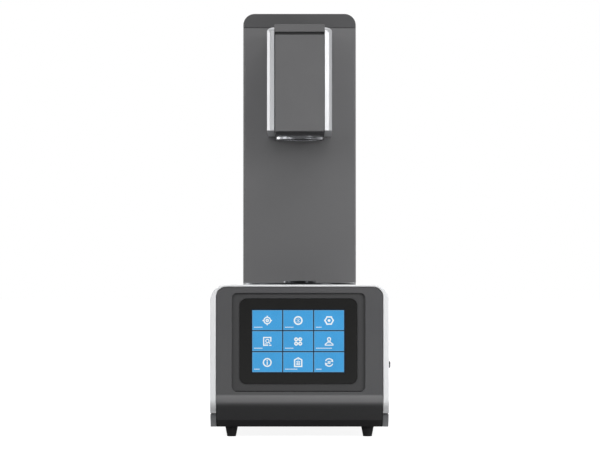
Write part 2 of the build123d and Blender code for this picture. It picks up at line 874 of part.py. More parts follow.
trap_top = sphere_middle - sphere_radius - trap_neck
with BuildPart() as sphere_lower:
    with Locations(sphere_centre):
        Sphere(sphere_radius)
    rods(level(trap_top), [(0, axis_depth)], trap_radius, sphere_radius / 2)
    rods(level(sphere_middle), [(0, axis_depth)], equator_radius, -equator_height)
    with Locations(sphere_centre):
        Sphere(sphere_bore, mode=Mode.SUBTRACT)
    rods(level(sphere_middle), [(0, axis_depth)], 2 * equator_radius, sphere_radius, Mode.SUBTRACT)
    rods(level(trap_top), [(0, axis_depth)], trap_bore, sphere_radius / 2, Mode.SUBTRACT)
    holes(level(sphere_middle), sphere_screw_points, screw_small, equator_height)
sphere_lower.part.label = "sphere_lower"
export_step(sphere_lower.part, "parts/sphere_lower.step")

with BuildPart() as sphere_screws:
    sphere_seat = level(sphere_middle + equator_height)
    screws(sphere_seat, sphere_screw_points, screw_small, 2 * equator_height)
sphere_screws.part.label = "sphere_screws"
export_step(sphere_screws.part, "parts/sphere_screws.step")

with BuildPart() as light_trap:
    trap_floor = trap_top - trap_length
    turned([
        (0, trap_floor),
        (trap_radius, trap_floor),
        (trap_radius, trap_top),
        (trap_bore, trap_top),
        (trap_bore + trap_flare, trap_floor + trap_point),
        (0, trap_top - trap_point),
    ])
light_trap.part.label = "light_trap"
export_step(light_trap.part, "parts/light_trap.step")

with BuildPart() as detector_housing:
    detector_face = beside(-detector_seat)
    rods(detector_face, [detector_place], detector_radius, -detector_length)
    rods(detector_face, [detector_place], detector_window, -detector_bore_depth, Mode.SUBTRACT)
detector_housing.part.label = "detector_housing"
export_step(detector_housing.part, "parts/detector_housing.step")

# Side button: sprung cap in a threaded bezel, with a nut and a sealed switch behind the cheek
button_axis = Axis((0, button_depth, button_height), (1, 0, 0))
shoulder = body_side - shell_wall - part_gap
collar_front = shoulder - seat_gap
collar_rear = collar_front - collar_thickness
bezel_rear = body_side - switch_reach
stem_end = bezel_rear - stem_reach
switch_floor = stem_end - button_travel - spring_room
switch_rear = switch_floor - switch_base


def turned_sideways(outline):
    # Ring or disc about the button's axis, its outline given as x and radius
    with BuildSketch(Plane.XZ.offset(-button_depth)) as half:
        with BuildLine():
            Polyline(*[(x, button_height + r) for x, r in outline], close=True)
        make_face()
    revolve(half.sketch, axis=button_axis)


with BuildPart() as power_button:
    cap_face = body_side + button_proud
    turned_sideways([
        (stem_end, 0),
        (stem_end, stem_radius),
        (collar_rear, stem_radius),
        (collar_rear, collar_radius),
        (collar_front, collar_radius),
        (collar_front, button_radius),
        (cap_face - edge_round, button_radius),
        (cap_face, button_radius - edge_round),
        (cap_face - cap_dish, button_radius - 2 * edge_round),
        (cap_face - cap_dish, 0),
    ])
power_button.part.label = "power_button"
export_step(power_button.part, "parts/power_button.step")

with BuildPart() as button_bezel:
    bezel_bore = button_radius + slide_gap
    turned_sideways([
        (bezel_rear, bezel_radius),
        (body_side, bezel_radius),
        (body_side, bezel_flange),
        (body_side + bezel_proud / 2, bezel_flange),
        (body_side + bezel_proud, bezel_flange - bezel_proud),
        (body_side + bezel_proud, bezel_bore),
        (shoulder, bezel_bore),
        (shoulder, collar_radius + slide_gap),
        (bezel_rear, collar_radius + slide_gap),
    ])
button_bezel.part.label = "button_bezel"
export_step(button_bezel.part, "parts/button_bezel.step")

with BuildPart() as button_nut:
    with BuildSketch(beside(body_side - shell_wall)):
        with Locations((button_depth, button_height)):
            RegularPolygon(nut_width / 2, 6, major_radius=False)
            Circle(bezel_radius + running_gap, mode=Mode.SUBTRACT)
    extrude(amount=-nut_thickness)
button_nut.part.label = "button_nut"
export_step(button_nut.part, "parts/button_nut.step")

with BuildPart() as switch_body:
    for switch_end, bored in ((bezel_rear, True), (switch_floor, False)):
        with BuildSketch(beside(switch_end)):
            with Locations((button_depth, button_height)):
                RectangleRounded(2 * bezel_radius, 2 * bezel_radius, switch_corner)
                if bored:
                    Circle(stem_radius + slide_gap, mode=Mode.SUBTRACT)
        extrude(amount=(switch_floor if bored else switch_rear) - switch_end)
    with BuildSketch(beside(switch_rear)):
        with Locations((button_depth, button_height)):
            with GridLocations(0, terminal_pitch, 1, 2):
                Rectangle(terminal_width, terminal_thickness)
    extrude(amount=-terminal_length)
switch_body.part.label = "switch_body"
export_step(switch_body.part, "parts/switch_body.step")

# Column: front and rear covers round a steel spine, and a rounded cap that plugs into them
arm_flange_bottom = arm_height - (arm_flange_height - arm_thickness) / 2 + arm_flange_rise
arm_flange_top = arm_flange_bottom + arm_flange_height
arm_bolt_x = arm_width / 2 - arm_bolt_side_inset
arm_bolt_points = [
    (x * arm_bolt_x, z)
    for x in (-1, 1)
    for z in (arm_flange_bottom + arm_bolt_inset, arm_flange_top - arm_bolt_inset)
]
cover_screw_points = [
    (x * (spine_width - spine_lip) / 2, deck_height + cover_screw_start + i * cover_screw_pitch)
    for x in (-1, 1)
    for i in range(cover_screw_rows)
]


def column_shell(front, rear, open_side):
    # One upright half of the column's skin, open towards the other half
    side = column_width / 2
    inner_front = front + (0 if open_side < 0 else column_wall)
    inner_rear = rear - (0 if open_side > 0 else column_wall)
    with BuildSketch(level(deck_height)) as skin:
        pane(-side, side, front, rear)
        outer = vertices().group_by(Axis.Y)[0 if open_side > 0 else -1]
        fillet(outer, column_edge)
        with Locations((0, (inner_front + inner_rear) / 2)):
            Rectangle(
                column_width - 2 * column_wall, inner_rear - inner_front, mode=Mode.SUBTRACT
            )
    extrude(skin.sketch, amount=seam_height - cap_seam / 2 - deck_height)


with BuildPart() as column_front:
    column_shell(column_front_face, column_middle - seat_gap, 1)
    with BuildSketch(across(column_front_face)):
        arm_hole_side = arm_width / 2 + part_gap
        pane(-arm_hole_side, arm_hole_side, arm_flange_bottom - part_gap, arm_flange_top + part_gap)
    extrude(amount=-2 * column_wall, mode=Mode.SUBTRACT)
column_front.part.label = "column_front"
export_step(column_front.part, "parts/column_front.step")

with BuildPart() as column_rear:
    column_shell(column_middle + seat_gap, column_rear_face, -1)
    holes(across(column_rear_face), cover_screw_points, screw_small, 2 * column_wall, facing=-1)
column_rear.part.label = "column_rear"
export_step(column_rear.part, "parts/column_rear.step")

with BuildPart() as column_cap:
    with BuildSketch(across(column_front_face)):
        arch(column_width, seam_height + cap_seam / 2, column_top, cap_corner)
    extrude(amount=-column_depth)
    with BuildSketch(level(seam_height)):
        pane(-column_width / 2, column_width / 2, column_front_face, column_rear_face)
        fillet(vertices(), column_edge)
    extrude(amount=cap_height, mode=Mode.INTERSECT)
    with BuildSketch(across(spine_front)):
        arch(
            column_width - 2 * column_wall,
            seam_height - cap_lip,
            column_top - column_wall,
            cap_corner - column_wall,
        )
    extrude(amount=-(column_depth - 2 * column_wall), mode=Mode.SUBTRACT)
    with BuildSketch(level(seam_height - cap_lip)):
        lip_side = column_width / 2 - column_wall - seat_gap
        pane(-lip_side, lip_side, spine_front + seat_gap, spine_rear - seat_gap)
        offset(amount=-column_wall, mode=Mode.SUBTRACT)
    extrude(amount=cap_lip + edge_round)
    with BuildSketch(level(seam_height + cap_seam / 2)):
        ledge_side = lip_side + cap_ledge
        pane(-ledge_side, ledge_side, spine_front - cap_ledge, spine_rear + cap_ledge)
        with Locations((0, column_middle)):
            Rectangle(
                2 * (lip_side - column_wall),
                spine_rear - spine_front - 2 * (seat_gap + column_wall),
                mode=Mode.SUBTRACT,
            )
    extrude(amount=edge_round)
column_cap.part.label = "column_cap"
export_step(column_cap.part, "parts/column_cap.step")

with BuildPart() as column_spine:
    spine_side = spine_width / 2
    with BuildSketch(level(deck_height)):
        pane(-spine_side, spine_side, spine_front, spine_rear)
        with Locations((0, column_middle)):
            Rectangle(
                spine_width - 2 * spine_wall,
                spine_rear - spine_front - 2 * spine_wall,
                mode=Mode.SUBTRACT,
            )
        with Locations((0, spine_rear)):
            Rectangle(spine_width - 2 * spine_lip, 4 * spine_wall, mode=Mode.SUBTRACT)
    extrude(amount=column_height - cap_height - 2 * cap_lip)
    with BuildSketch(level(deck_height)):
        foot_side = spine_foot_width / 2
        pane(-foot_side, foot_side, spine_front, spine_rear)
    extrude(amount=spine_foot)
    holes(level(deck_height + spine_foot), spine_bolt_points, screw_large, spine_foot)
    holes(across(spine_rear), cover_screw_points, screw_small, spine_wall, facing=-1)
    holes(across(spine_front), arm_bolt_points, screw_medium, spine_wall)
column_spine.part.label = "column_spine"
export_step(column_spine.part, "parts/column_spine.step")

with BuildPart() as spine_bolts:
    bolt_reach = spine_foot + shell_top + deck_plate_thickness
    screws(level(deck_height + spine_foot), spine_bolt_points, screw_large, bolt_reach)
spine_bolts.part.label = "spine_bolts"
export_step(spine_bolts.part, "parts/spine_bolts.step")

with BuildPart() as cover_screws:
    cover_screw_reach = column_wall + spine_wall
    screws(across(column_rear_face), cover_screw_points, screw_small, cover_screw_reach, facing=-1)
cover_screws.part.label = "cover_screws"
export_step(cover_screws.part, "parts/cover_screws.step")

# Head arm: flange on the spine, and a shelf that carries the barrel below and the lamp above
with BuildPart() as head_arm:
    arm_side = arm_width / 2
    arm_front = axis_depth - arm_reach
    flange_front = spine_front - arm_thickness
    with BuildSketch(across(spine_front)):
        pane(-arm_side, arm_side, arm_flange_bottom, arm_flange_top)
    extrude(amount=arm_thickness)
    with BuildSketch(level(arm_height)):
        pane(-arm_side, arm_side, arm_front, flange_front)
    extrude(amount=arm_thickness)
    for rib_side in (-1, 1):
        with BuildSketch(beside(rib_side * (arm_side - spine_wall / 2) - spine_wall / 2)):
            with BuildLine():
                Polyline(
                    (flange_front, arm_top),
                    (flange_front, arm_flange_top),
                    (axis_depth + holder_radius + rib_clearance, arm_top),
                    close=True,
                )
            make_face()
        extrude(amount=spine_wall)
    rods(level(arm_top), [(0, axis_depth)], beam_radius, -arm_thickness, Mode.SUBTRACT)
    holes(across(flange_front), arm_bolt_points, screw_medium, arm_thickness)
head_arm.part.label = "head_arm"
export_step(head_arm.part, "parts/head_arm.step")

with BuildPart() as arm_bolts:
    screws(across(flange_front), arm_bolt_points, screw_medium, arm_thickness + spine_wall)
arm_bolts.part.label = "arm_bolts"
export_step(arm_bolts.part, "parts/arm_bolts.step")

# Head housing: dark box with a visor over the groove, open below and behind
head_rear = column_front_face - seat_gap
visor_floor = head_top - visor_height
cover_top = visor_floor - groove_height
housing_face = head_front + groove_depth
cover_side = front_cover_width / 2
cover_rear = head_front + front_cover_thickness
head_screw_rows = (head_front + head_screw_front_inset, head_rear - head_screw_rear_inset)
head_screw_points = [
    (x * (housing_side - head_screw_side_inset), y) for x in (-1, 1) for y in head_screw_rows
]
cover_pin_points = [
    (x * (cover_side - cover_pin_side_inset), z)
    for x in (-1, 1)
    for z in (head_bottom + cover_pin_end_inset, cover_top - cover_pin_end_inset)
]

with BuildPart() as head_housing:
    with BuildSketch(across(head_front)):
        arch(2 * housing_side, head_bottom, head_top, edge_round * 2)
    extrude(amount=head_front - head_rear)
    front_top = head_housing.edges().filter_by(Axis.X).group_by(Axis.Z)[-1].sort_by(Axis.Y)[0]
    fillet(front_top, edge_round)
    with BuildSketch(across(head_front - ridge_proud)):
        pane(-housing_side, housing_side, head_bottom, visor_floor)
    extrude(amount=-(groove_depth + ridge_proud), mode=Mode.SUBTRACT)
    with BuildSketch(across(housing_face + housing_wall)):
        inner_side = housing_side - housing_wall
        pane(-inner_side, inner_side, plate_floor, head_top - housing_wall)
    extrude(amount=-(head_rear - housing_face), mode=Mode.SUBTRACT)
    boss_x = housing_side - head_boss_width / 2
    with BuildSketch(level(head_bottom)):
        with Locations(*[(x * boss_x, y) for x in (-1, 1) for y in head_screw_rows]):
            Rectangle(head_boss_width, head_boss_depth)
    extrude(amount=head_boss_height)
    head_bore = head_screw_reach + tip_room
    holes(level(head_bottom), head_screw_points, screw_small, head_bore, facing=-1)
    pin_hole = cover_pin_radius + hole_gap
    rods(across(housing_face), cover_pin_points, pin_hole, -housing_wall, Mode.SUBTRACT)
head_housing.part.label = "head_housing"
export_step(head_housing.part, "parts/head_housing.step")

# Front cover of the head, held by four pins with shoulders
with BuildPart() as head_front_cover:
    with BuildSketch(across(cover_rear)):
        pane(-cover_side, cover_side, head_bottom, cover_top)
    extrude(amount=front_cover_thickness)
    front_rim = head_front_cover.faces().sort_by(Axis.Y)[0].edges()
    chamfer(front_rim, edge_round)
    stand = groove_depth - front_cover_thickness
    rods(across(cover_rear), cover_pin_points, cover_pin_shoulder, -stand)
    rods(across(cover_rear), cover_pin_points, cover_pin_radius, -stand - cover_pin_reach)
head_front_cover.part.label = "head_front_cover"
export_step(head_front_cover.part, "parts/head_front_cover.step")

# Side covers of the head: hollow cheeks with a ridged front edge and a rounded top
with BuildPart() as head_side_right:
    inner_x = housing_side + seat_gap / 2
    outer_x = head_width / 2
    cover_bottom = head_bottom + side_cover_rise
    cover_crown = cover_bottom + side_cover_height
    ridge = head_front - ridge_proud
    with BuildSketch(across(head_rear)):
        with BuildLine():
            crown = EllipticalCenterArc(
                (inner_x, cover_crown - side_cover_shoulder),
                outer_x - inner_x,
                side_cover_shoulder,
                arc_size=90,
            )
            Polyline(
                crown @ 1, (inner_x, cover_bottom), (outer_x, cover_bottom), crown @ 0
            )
        make_face()
    extrude(amount=head_rear - ridge)
    with BuildSketch(level(cover_bottom)):
        with BuildLine():
            Polyline(
                (inner_x, head_rear),
                (inner_x, head_front + edge_round),
                (outer_x - facet_width, ridge),
                (outer_x, ridge + facet_fall),
                (outer_x, head_rear),
                close=True,
            )
        make_face()
    extrude(amount=side_cover_height, mode=Mode.INTERSECT)
    with BuildSketch(beside(inner_x)):
        pane(ridge, head_rear, cover_bottom, cover_crown)
        front_corner = vertices().group_by(Axis.X)[0].sort_by(Axis.Y)[-1]
        fillet(front_corner, side_cover_round)
    extrude(amount=side_cover_width, mode=Mode.INTERSECT)
    with BuildSketch(beside(inner_x)):
        pane(
            ridge + side_cover_nose,
            head_rear - side_cover_wall,
            cover_bottom + side_cover_wall,
            cover_crown - side_cover_nose,
        )
    extrude(amount=side_cover_width - side_cover_wall, mode=Mode.SUBTRACT)
head_side_right.part.label = "head_side_right"
export_step(head_side_right.part, "parts/head_side_right.step")

with BuildPart() as head_side_left:
    add(mirror(head_side_right.part, about=Plane.YZ, mode=Mode.PRIVATE))
head_side_left.part.label = "head_side_left"
export_step(head_side_left.part, "parts/head_side_left.step")

# Bottom plate, closing the head round the barrel
with BuildPart() as head_bottom_plate:
    with BuildSketch(level(plate_floor)):
        pane(-cover_side, cover_side, head_front + edge_round / 2, head_rear)
        fillet(vertices(), plate_corner)
    extrude(amount=bottom_plate_thickness)
    barrel_hole = barrel_radius + part_gap
    through = 2 * bottom_plate_thickness
    rods(level(plate_floor), [(0, axis_depth)], barrel_hole, through, Mode.SUBTRACT)
    holes(level(plate_floor), head_screw_points, screw_small, through, facing=-1)
    rods(
        level(plate_floor),
        head_screw_points,
        screw_small[0] + hole_gap,
        screw_small[1],
        Mode.SUBTRACT,
    )
head_bottom_plate.part.label = "head_bottom_plate"
export_step(head_bottom_plate.part, "parts/head_bottom_plate.step")

with BuildPart() as head_screws:
    head_screw_seat = plate_floor + screw_small[1]
    head_screw_length = head_bottom + head_screw_reach - head_screw_seat
    screws(level(head_screw_seat), head_screw_points, screw_small, head_screw_length, facing=-1)
head_screws.part.label = "head_screws"
export_step(head_screws.part, "parts/head_screws.step")

# Lens barrel: polished mouth ring below the plate and a neck up to the arm
lens_seat = lens_floor + lens_mouth_depth
with BuildPart() as lens_barrel:
    turned([
        (lens_mouth_radius, lens_floor),
        (lens_ring_radius - stage_edge, lens_floor),
        (lens_ring_radius, lens_floor + stage_edge),
        (lens_ring_radius, plate_floor),
        (barrel_radius, plate_floor),
        (barrel_radius, arm_height),
        (beam_radius, arm_height),
        (beam_radius, lens_seat + lens_thickness),
        (lens_radius + running_gap, lens_seat + lens_thickness),
        (lens_radius + running_gap, lens_seat),
        (lens_mouth_radius, lens_seat),
    ])
lens_barrel.part.label = "lens_barrel"
export_step(lens_barrel.part, "parts/lens_barrel.step")

with BuildPart() as objective_lens:
    with BuildSketch(across(axis_depth)) as lens_half:
        with BuildLine():
            lens_top = lens_seat + lens_thickness
            lens_rim = lens_seat + lens_sag
            ThreePointArc(
                (0, lens_seat),
                (lens_radius / 2, lens_seat + lens_sag / 4),
                (lens_radius, lens_rim),
            )
            Polyline((lens_radius, lens_rim), (lens_radius, lens_top), (0, lens_top), (0, lens_seat))
        make_face()
    revolve(axis=optical_axis)
objective_lens.part.label = "objective_lens"
export_step(objective_lens.part, "parts/objective_lens.step")

with BuildPart() as lens_retainer:
    retainer_floor = lens_seat - retainer_thickness
    turned([
        (lens_radius - retainer_overlap, retainer_floor),
        (lens_mouth_radius - running_gap, retainer_floor),
        (lens_mouth_radius - running_gap, lens_seat),
        (lens_radius - retainer_overlap, lens_seat),
    ])
lens_retainer.part.label = "lens_retainer"
export_step(lens_retainer.part, "parts/lens_retainer.step")

# Lamp above the arm: condenser lens, holder, lamp board and finned heat sink
with BuildPart() as condenser_lens:
    rods(level(arm_top), [(0, axis_depth)], condenser_radius, condenser_thickness)
condenser_lens.part.label = "condenser_lens"
export_step(condenser_lens.part, "parts/condenser_lens.step")

holder_top = arm_top + holder_height
with BuildPart() as lamp_holder:
    turned([
        (holder_radius, arm_top),
        (holder_radius, holder_top),
        (beam_radius - holder_lip, holder_top),
        (beam_radius - holder_lip, arm_top + condenser_thickness + seat_gap),
        (condenser_radius + hole_gap, arm_top + condenser_thickness + seat_gap),
        (condenser_radius + hole_gap, arm_top),
    ])
lamp_holder.part.label = "lamp_holder"
export_step(lamp_holder.part, "parts/lamp_holder.step")

with BuildPart() as lamp_board:
    rods(level(holder_top), [(0, axis_depth)], lamp_board_radius, lamp_board_thickness)
    rods(level(holder_top), [(0, axis_depth)], led_radius, -led_height)
lamp_board.part.label = "lamp_board"
export_step(lamp_board.part, "parts/lamp_board.step")

sink_floor = holder_top + lamp_board_thickness
with BuildPart() as heat_sink:
    with BuildSketch(level(sink_floor)):
        with Locations((0, axis_depth)):
            RectangleRounded(sink_width, sink_width, sink_corner)
    extrude(amount=sink_base)
    fin_pitch = (sink_width - fin_thickness) / (fin_count - 1)
    with BuildSketch(level(sink_floor + sink_base)):
        with Locations((0, axis_depth)):
            with GridLocations(fin_pitch, 0, fin_count, 1):
                Rectangle(fin_thickness, sink_width - 2 * fin_thickness)
    extrude(amount=sink_height - sink_base)
heat_sink.part.label = "heat_sink"
export_step(heat_sink.part, "parts/heat_sink.step")
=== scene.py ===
import math

import bmesh
import bpy
import numpy as np
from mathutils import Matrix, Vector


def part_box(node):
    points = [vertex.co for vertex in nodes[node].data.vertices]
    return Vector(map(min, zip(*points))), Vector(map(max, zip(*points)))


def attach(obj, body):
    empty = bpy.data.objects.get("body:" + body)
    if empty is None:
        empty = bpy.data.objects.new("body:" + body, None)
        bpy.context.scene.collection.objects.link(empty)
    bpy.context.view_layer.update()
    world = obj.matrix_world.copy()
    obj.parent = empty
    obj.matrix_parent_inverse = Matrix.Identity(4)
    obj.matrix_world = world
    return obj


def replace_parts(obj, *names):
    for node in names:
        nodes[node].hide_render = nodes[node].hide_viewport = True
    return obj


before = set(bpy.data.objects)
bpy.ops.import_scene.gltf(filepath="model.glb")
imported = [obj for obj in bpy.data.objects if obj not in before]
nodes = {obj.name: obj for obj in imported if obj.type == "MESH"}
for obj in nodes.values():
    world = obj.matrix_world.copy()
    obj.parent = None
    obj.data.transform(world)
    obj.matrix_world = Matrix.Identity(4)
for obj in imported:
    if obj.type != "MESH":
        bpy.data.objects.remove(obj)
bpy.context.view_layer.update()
print("frame loaded:", len(nodes), "nodes")

mm = 0.001
opticalAxis = (0.0, -0.045)      # the line that stage, port, sphere, barrel and lamp share
buttonAxis = (-0.127, 0.0872)    # depth and height of the side button


# Camera, floor and light
camera = {
    "place": (0.0006, -3.642, 0.184),   # level with the deck, so that the stage is seen edge-on
    "pitch": math.atan(59.5 / 2900),
    "lens": 174.0,
    "sensor": 36.0,
    "clipEnd": 200.0,
}


def putCamera(c):
    # Looks along y, then tilts up by the pitch, whose tangent is the horizon's shift over the focal length
    data = bpy.data.cameras.new("photoCamera")
    data.lens = c["lens"]
    data.sensor_width = c["sensor"]
    data.sensor_fit = "HORIZONTAL"
    data.clip_end = c["clipEnd"]
    holder = bpy.data.objects.new("photoCamera", data)
    holder.location = c["place"]
    holder.rotation_euler = (math.pi / 2 + c["pitch"], 0, 0)
    bpy.context.scene.collection.objects.link(holder)
    bpy.context.scene.camera = holder


putCamera(camera)
bpy.context.scene.view_settings.view_transform = "Standard"
print("camera placed")


def sRgb(red, green, blue):
    # Linear colour of an 8-bit one by the standard curve: a straight foot, then a power of 2.4
    level = np.array([red, green, blue], dtype=float) / 255
    linear = np.where(level <= 0.04045, level / 12.92, ((level + 0.055) / 1.055) ** 2.4)
    return (float(linear[0]), float(linear[1]), float(linear[2]), 1.0)


def tones(colour, drift, edge):
    # A finish's three tones, each made linear: its open face, where it drifts to, and its edges
    return {"colour": sRgb(*colour), "drift": sRgb(*drift), "edge": sRgb(*edge)}


def addNode(tree, kind, feeds=None, **settings):
    # A node of one kind; a feed that is a socket is linked, and any other is set as a value
    node = tree.nodes.new(kind)
    for key, value in settings.items():
        setattr(node, key, value)
    for key, value in (feeds or {}).items():
        if isinstance(value, bpy.types.NodeSocket):
            tree.links.new(value, node.inputs[key])
        else:
            node.inputs[key].default_value = value
    return node


def math2(tree, kind, first, second=0.0, clamp=False):
    # One step of arithmetic: first, the operation, second; clamp holds it between 0 and 1
    return addNode(tree, "ShaderNodeMath", {0: first, 1: second}, operation=kind, use_clamp=clamp).outputs[0]


def ranged(tree, value, fromLow, fromHigh, toLow, toHigh, kind="LINEAR"):
    # toLow plus (toHigh less toLow) times the value's share of its own span, level beyond both ends
    feeds = {"Value": value, "From Min": fromLow, "From Max": fromHigh, "To Min": toLow, "To Max": toHigh}
    return addNode(tree, "ShaderNodeMapRange", feeds, interpolation_type=kind).outputs["Result"]


def blended(tree, share, first, second):
    # first times (1 less share), plus second times share; the colour sockets are numbers 6 and 7
    return addNode(tree, "ShaderNodeMix", {0: share, 6: first, 7: second}, data_type="RGBA").outputs[2]


floorLook = {
    "size": 60.0,
    "bounce": (0.11, 0.11, 0.11, 1.0),   # what the floor gives back to the object
    "bounceFleck": (0.13, 0.13, 0.13, 1.0),
    "fleckScale": 60.0,
    "seen": (0.36, 0.36, 0.365, 1.0),    # share of the seen floor that takes the shadow
    "lift": 0.9,                         # share that is white whatever the shadow
    "mirroredLift": 0.1,                 # the same share as gloss and metal see it
}


def putFloor(f):
    # A square about the origin. Other rays get the dim bounce; what the eye and gloss see is the
    # shaded paper plus a lift of plain white, full for the eye and small for gloss.
    half = f["size"] / 2
    mesh = bpy.data.meshes.new("studioFloor")
    corners = [(-half, -half, 0), (half, -half, 0), (half, half, 0), (-half, half, 0)]
    mesh.from_pydata(corners, [], [(0, 1, 2, 3)])
    floor = bpy.data.objects.new("studioFloor", mesh)
    bpy.context.scene.collection.objects.link(floor)
    paper = bpy.data.materials.new("studioPaper")
    paper.use_nodes = True
    tree = paper.node_tree
    tree.nodes.clear()
    path = addNode(tree, "ShaderNodeLightPath")
    eye = math2(tree, "MAXIMUM", path.outputs["Is Camera Ray"], path.outputs["Is Transmission Ray"])
    seen = math2(tree, "MAXIMUM", eye, path.outputs["Is Glossy Ray"])
    fleck = addNode(tree, "ShaderNodeTexNoise", {
        "Vector": addNode(tree, "ShaderNodeTexCoord").outputs["Object"], "Scale": f["fleckScale"],
        "Detail": 3.0,
    }).outputs["Fac"]
    bounce = addNode(tree, "ShaderNodeBsdfDiffuse", {
        "Color": blended(tree, fleck, f["bounce"], f["bounceFleck"]),
    })
    shade = addNode(tree, "ShaderNodeBsdfDiffuse", {"Color": f["seen"]})
    white = addNode(tree, "ShaderNodeEmission", {
        "Color": (1, 1, 1, 1), "Strength": ranged(tree, eye, 0.0, 1.0, f["mirroredLift"], f["lift"]),
    })
    both = addNode(tree, "ShaderNodeAddShader", {0: shade.outputs[0], 1: white.outputs[0]})
    mix = addNode(tree, "ShaderNodeMixShader", {0: seen, 1: bounce.outputs[0], 2: both.outputs[0]})
    addNode(tree, "ShaderNodeOutputMaterial", {"Surface": mix.outputs[0]})
    mesh.materials.append(paper)


studio = {
    "ambient": 0.95,      # a band of soft light above the horizon, fullest in front
    "ambientLow": 0.05,
    "rearShare": 0.85,
    "zenithShare": 0.5,
    "riseEnd": 0.35,      # heights of a direction where the band is full, and where it fades again
    "crownStart": 0.65,
    "aheadSpan": (-0.4, 0.8),     # depths of a direction between which it goes from front to rear
    "glossSpan": (-0.35, 0.6),
    "glossFront": 0.09,   # the dim room that a face turned to the camera mirrors
    "glossRear": 1.0,     # the white backdrop behind the object
    "glossLeft": 1.3,     # the room is brighter on the left than on the right
    "glossRight": 0.4,
}
lamps = [
    # name, place, aim, width, height, watts, and which rays it lights: all, only soft, only gloss
    ("headKey", (-1.0, -0.95, 0.75), (0, -0.1, 0.43), 0.5, 0.7, 3.3, "gloss"),
    ("leftEdge", (-1.3, -0.35, 0.5), (0, -0.1, 0.43), 0.5, 0.7, 1.7, "gloss"),
    ("leftRear", (-1.2, 0.95, 0.4), (0, -0.05, 0.36), 0.5, 0.6, 2.8, "gloss"),
    ("frontBox", (0.5, -2.1, 1.75), (0, 0, 0.25), 1.8, 0.7, 9.5, "soft"),
    ("softLeft", (-1.0, -0.8, 0.56), (0, 0, 0.25), 0.6, 0.5, 3.9, "soft"),
    ("softRight", (1.0, -0.85, 0.56), (0, 0, 0.25), 0.6, 0.5, 5.9, "soft"),
    ("rightBox", (0.6, -0.5, 0.05), (0.1, -0.12, 0.05), 0.25, 0.3, 1.3, "all"),
    ("rearBox", (0.5, 2.4, 1.3), (0, 0, 0.25), 1.6, 1.0, 16.0, "all"),
]


def lightStudio(s, boxes):
    # World: soft rays get low plus (full less low) times rise, crown and ahead, each a share that
    # follows the direction's height or depth; gloss rays get front to rear by depth, times left to
    # right. A lamp leans a right angle plus the arctangent of climb over run, and turns by the
    # arctangent of its way's x over its y.
    world = bpy.data.worlds.new("studioRoom")
    bpy.context.scene.world = world
    world.use_nodes = True
    tree = world.node_tree
    tree.nodes.clear()
    way = addNode(tree, "ShaderNodeSeparateXYZ", {
        "Vector": addNode(tree, "ShaderNodeTexCoord").outputs["Generated"],
    }).outputs
    path = addNode(tree, "ShaderNodeLightPath")
    rise = ranged(tree, way["Z"], 0.0, s["riseEnd"], 0.0, 1.0, "SMOOTHSTEP")
    crown = ranged(tree, way["Z"], s["crownStart"], 1.0, 1.0, s["zenithShare"], "SMOOTHSTEP")
    ahead = ranged(tree, way["Y"], *s["aheadSpan"], 1.0, s["rearShare"])
    band = math2(tree, "MULTIPLY", math2(tree, "MULTIPLY", rise, crown), ahead)
    ambient = ranged(tree, band, 0.0, 1.0, s["ambientLow"], s["ambient"])
    gloss = ranged(tree, way["Y"], *s["glossSpan"], s["glossFront"], s["glossRear"], "SMOOTHSTEP")
    across = ranged(tree, way["X"], -1.0, 1.0, s["glossLeft"], s["glossRight"])
    gloss = math2(tree, "MULTIPLY", gloss, across)
    room, mirror, backdrop = [
        addNode(tree, "ShaderNodeBackground", {"Color": (1, 1, 1, 1), "Strength": strength}).outputs[0]
        for strength in (ambient, gloss, 1.0)
    ]
    glossy = addNode(tree, "ShaderNodeMixShader", {0: path.outputs["Is Glossy Ray"], 1: room, 2: mirror})
    seen = math2(tree, "MAXIMUM", path.outputs["Is Camera Ray"], path.outputs["Is Transmission Ray"])
    mix = addNode(tree, "ShaderNodeMixShader", {0: seen, 1: glossy.outputs[0], 2: backdrop})
    addNode(tree, "ShaderNodeOutputWorld", {"Surface": mix.outputs[0]})
    for name, place, aim, width, height, watts, rays in boxes:
        data = bpy.data.lights.new(name, "AREA")
        data.shape = "RECTANGLE"
        data.size = width
        data.size_y = height
        data.energy = watts
        box = bpy.data.objects.new(name, data)
        box.location = place
        along, deep, climb = np.array(aim) - np.array(place)
        lean = math.pi / 2 + math.atan2(climb, math.hypot(along, deep))
        box.rotation_euler = (lean, 0, math.atan2(-along, deep))
        box.visible_camera = False
        box.visible_glossy = rays != "soft"
        box.visible_diffuse = rays != "gloss"
        bpy.context.scene.collection.objects.link(box)


putFloor(floorLook)
lightStudio(studio, lamps)
print("studio lit")


# Finishes
noiseSpan = (0.3, 0.7)      # nearly all of a noise node's values lie in here
wornLean = (0.995, 0.82)    # cosines of the lean where an edge starts, and where it is fully worn


def startFinish(name):
    # An empty material and its tree
    finish = bpy.data.materials.new(name)
    finish.use_nodes = True
    finish.node_tree.nodes.clear()
    return finish, finish.node_tree


def onObject(tree, stretch=(1, 1, 1), shift=(0, 0, 0), turn=(0, 0, 0)):
    # The object's own coordinates, times the stretch, then turned, then shifted
    coords = addNode(tree, "ShaderNodeTexCoord").outputs["Object"]
    feeds = {"Vector": coords, "Location": shift, "Rotation": turn, "Scale": stretch}
    return addNode(tree, "ShaderNodeMapping", feeds).outputs["Vector"]


def parted(tree, vector):
    # A vector's three parts
    return addNode(tree, "ShaderNodeSeparateXYZ", {"Vector": vector}).outputs


def cloud(tree, vector, scale, detail=3.0, roughness=0.55):
    # Sum of noise octaves, each twice as fine as the one before and weaker by the roughness
    feeds = {"Vector": vector, "Scale": scale, "Detail": detail, "Roughness": roughness}
    return addNode(tree, "ShaderNodeTexNoise", feeds).outputs["Fac"]


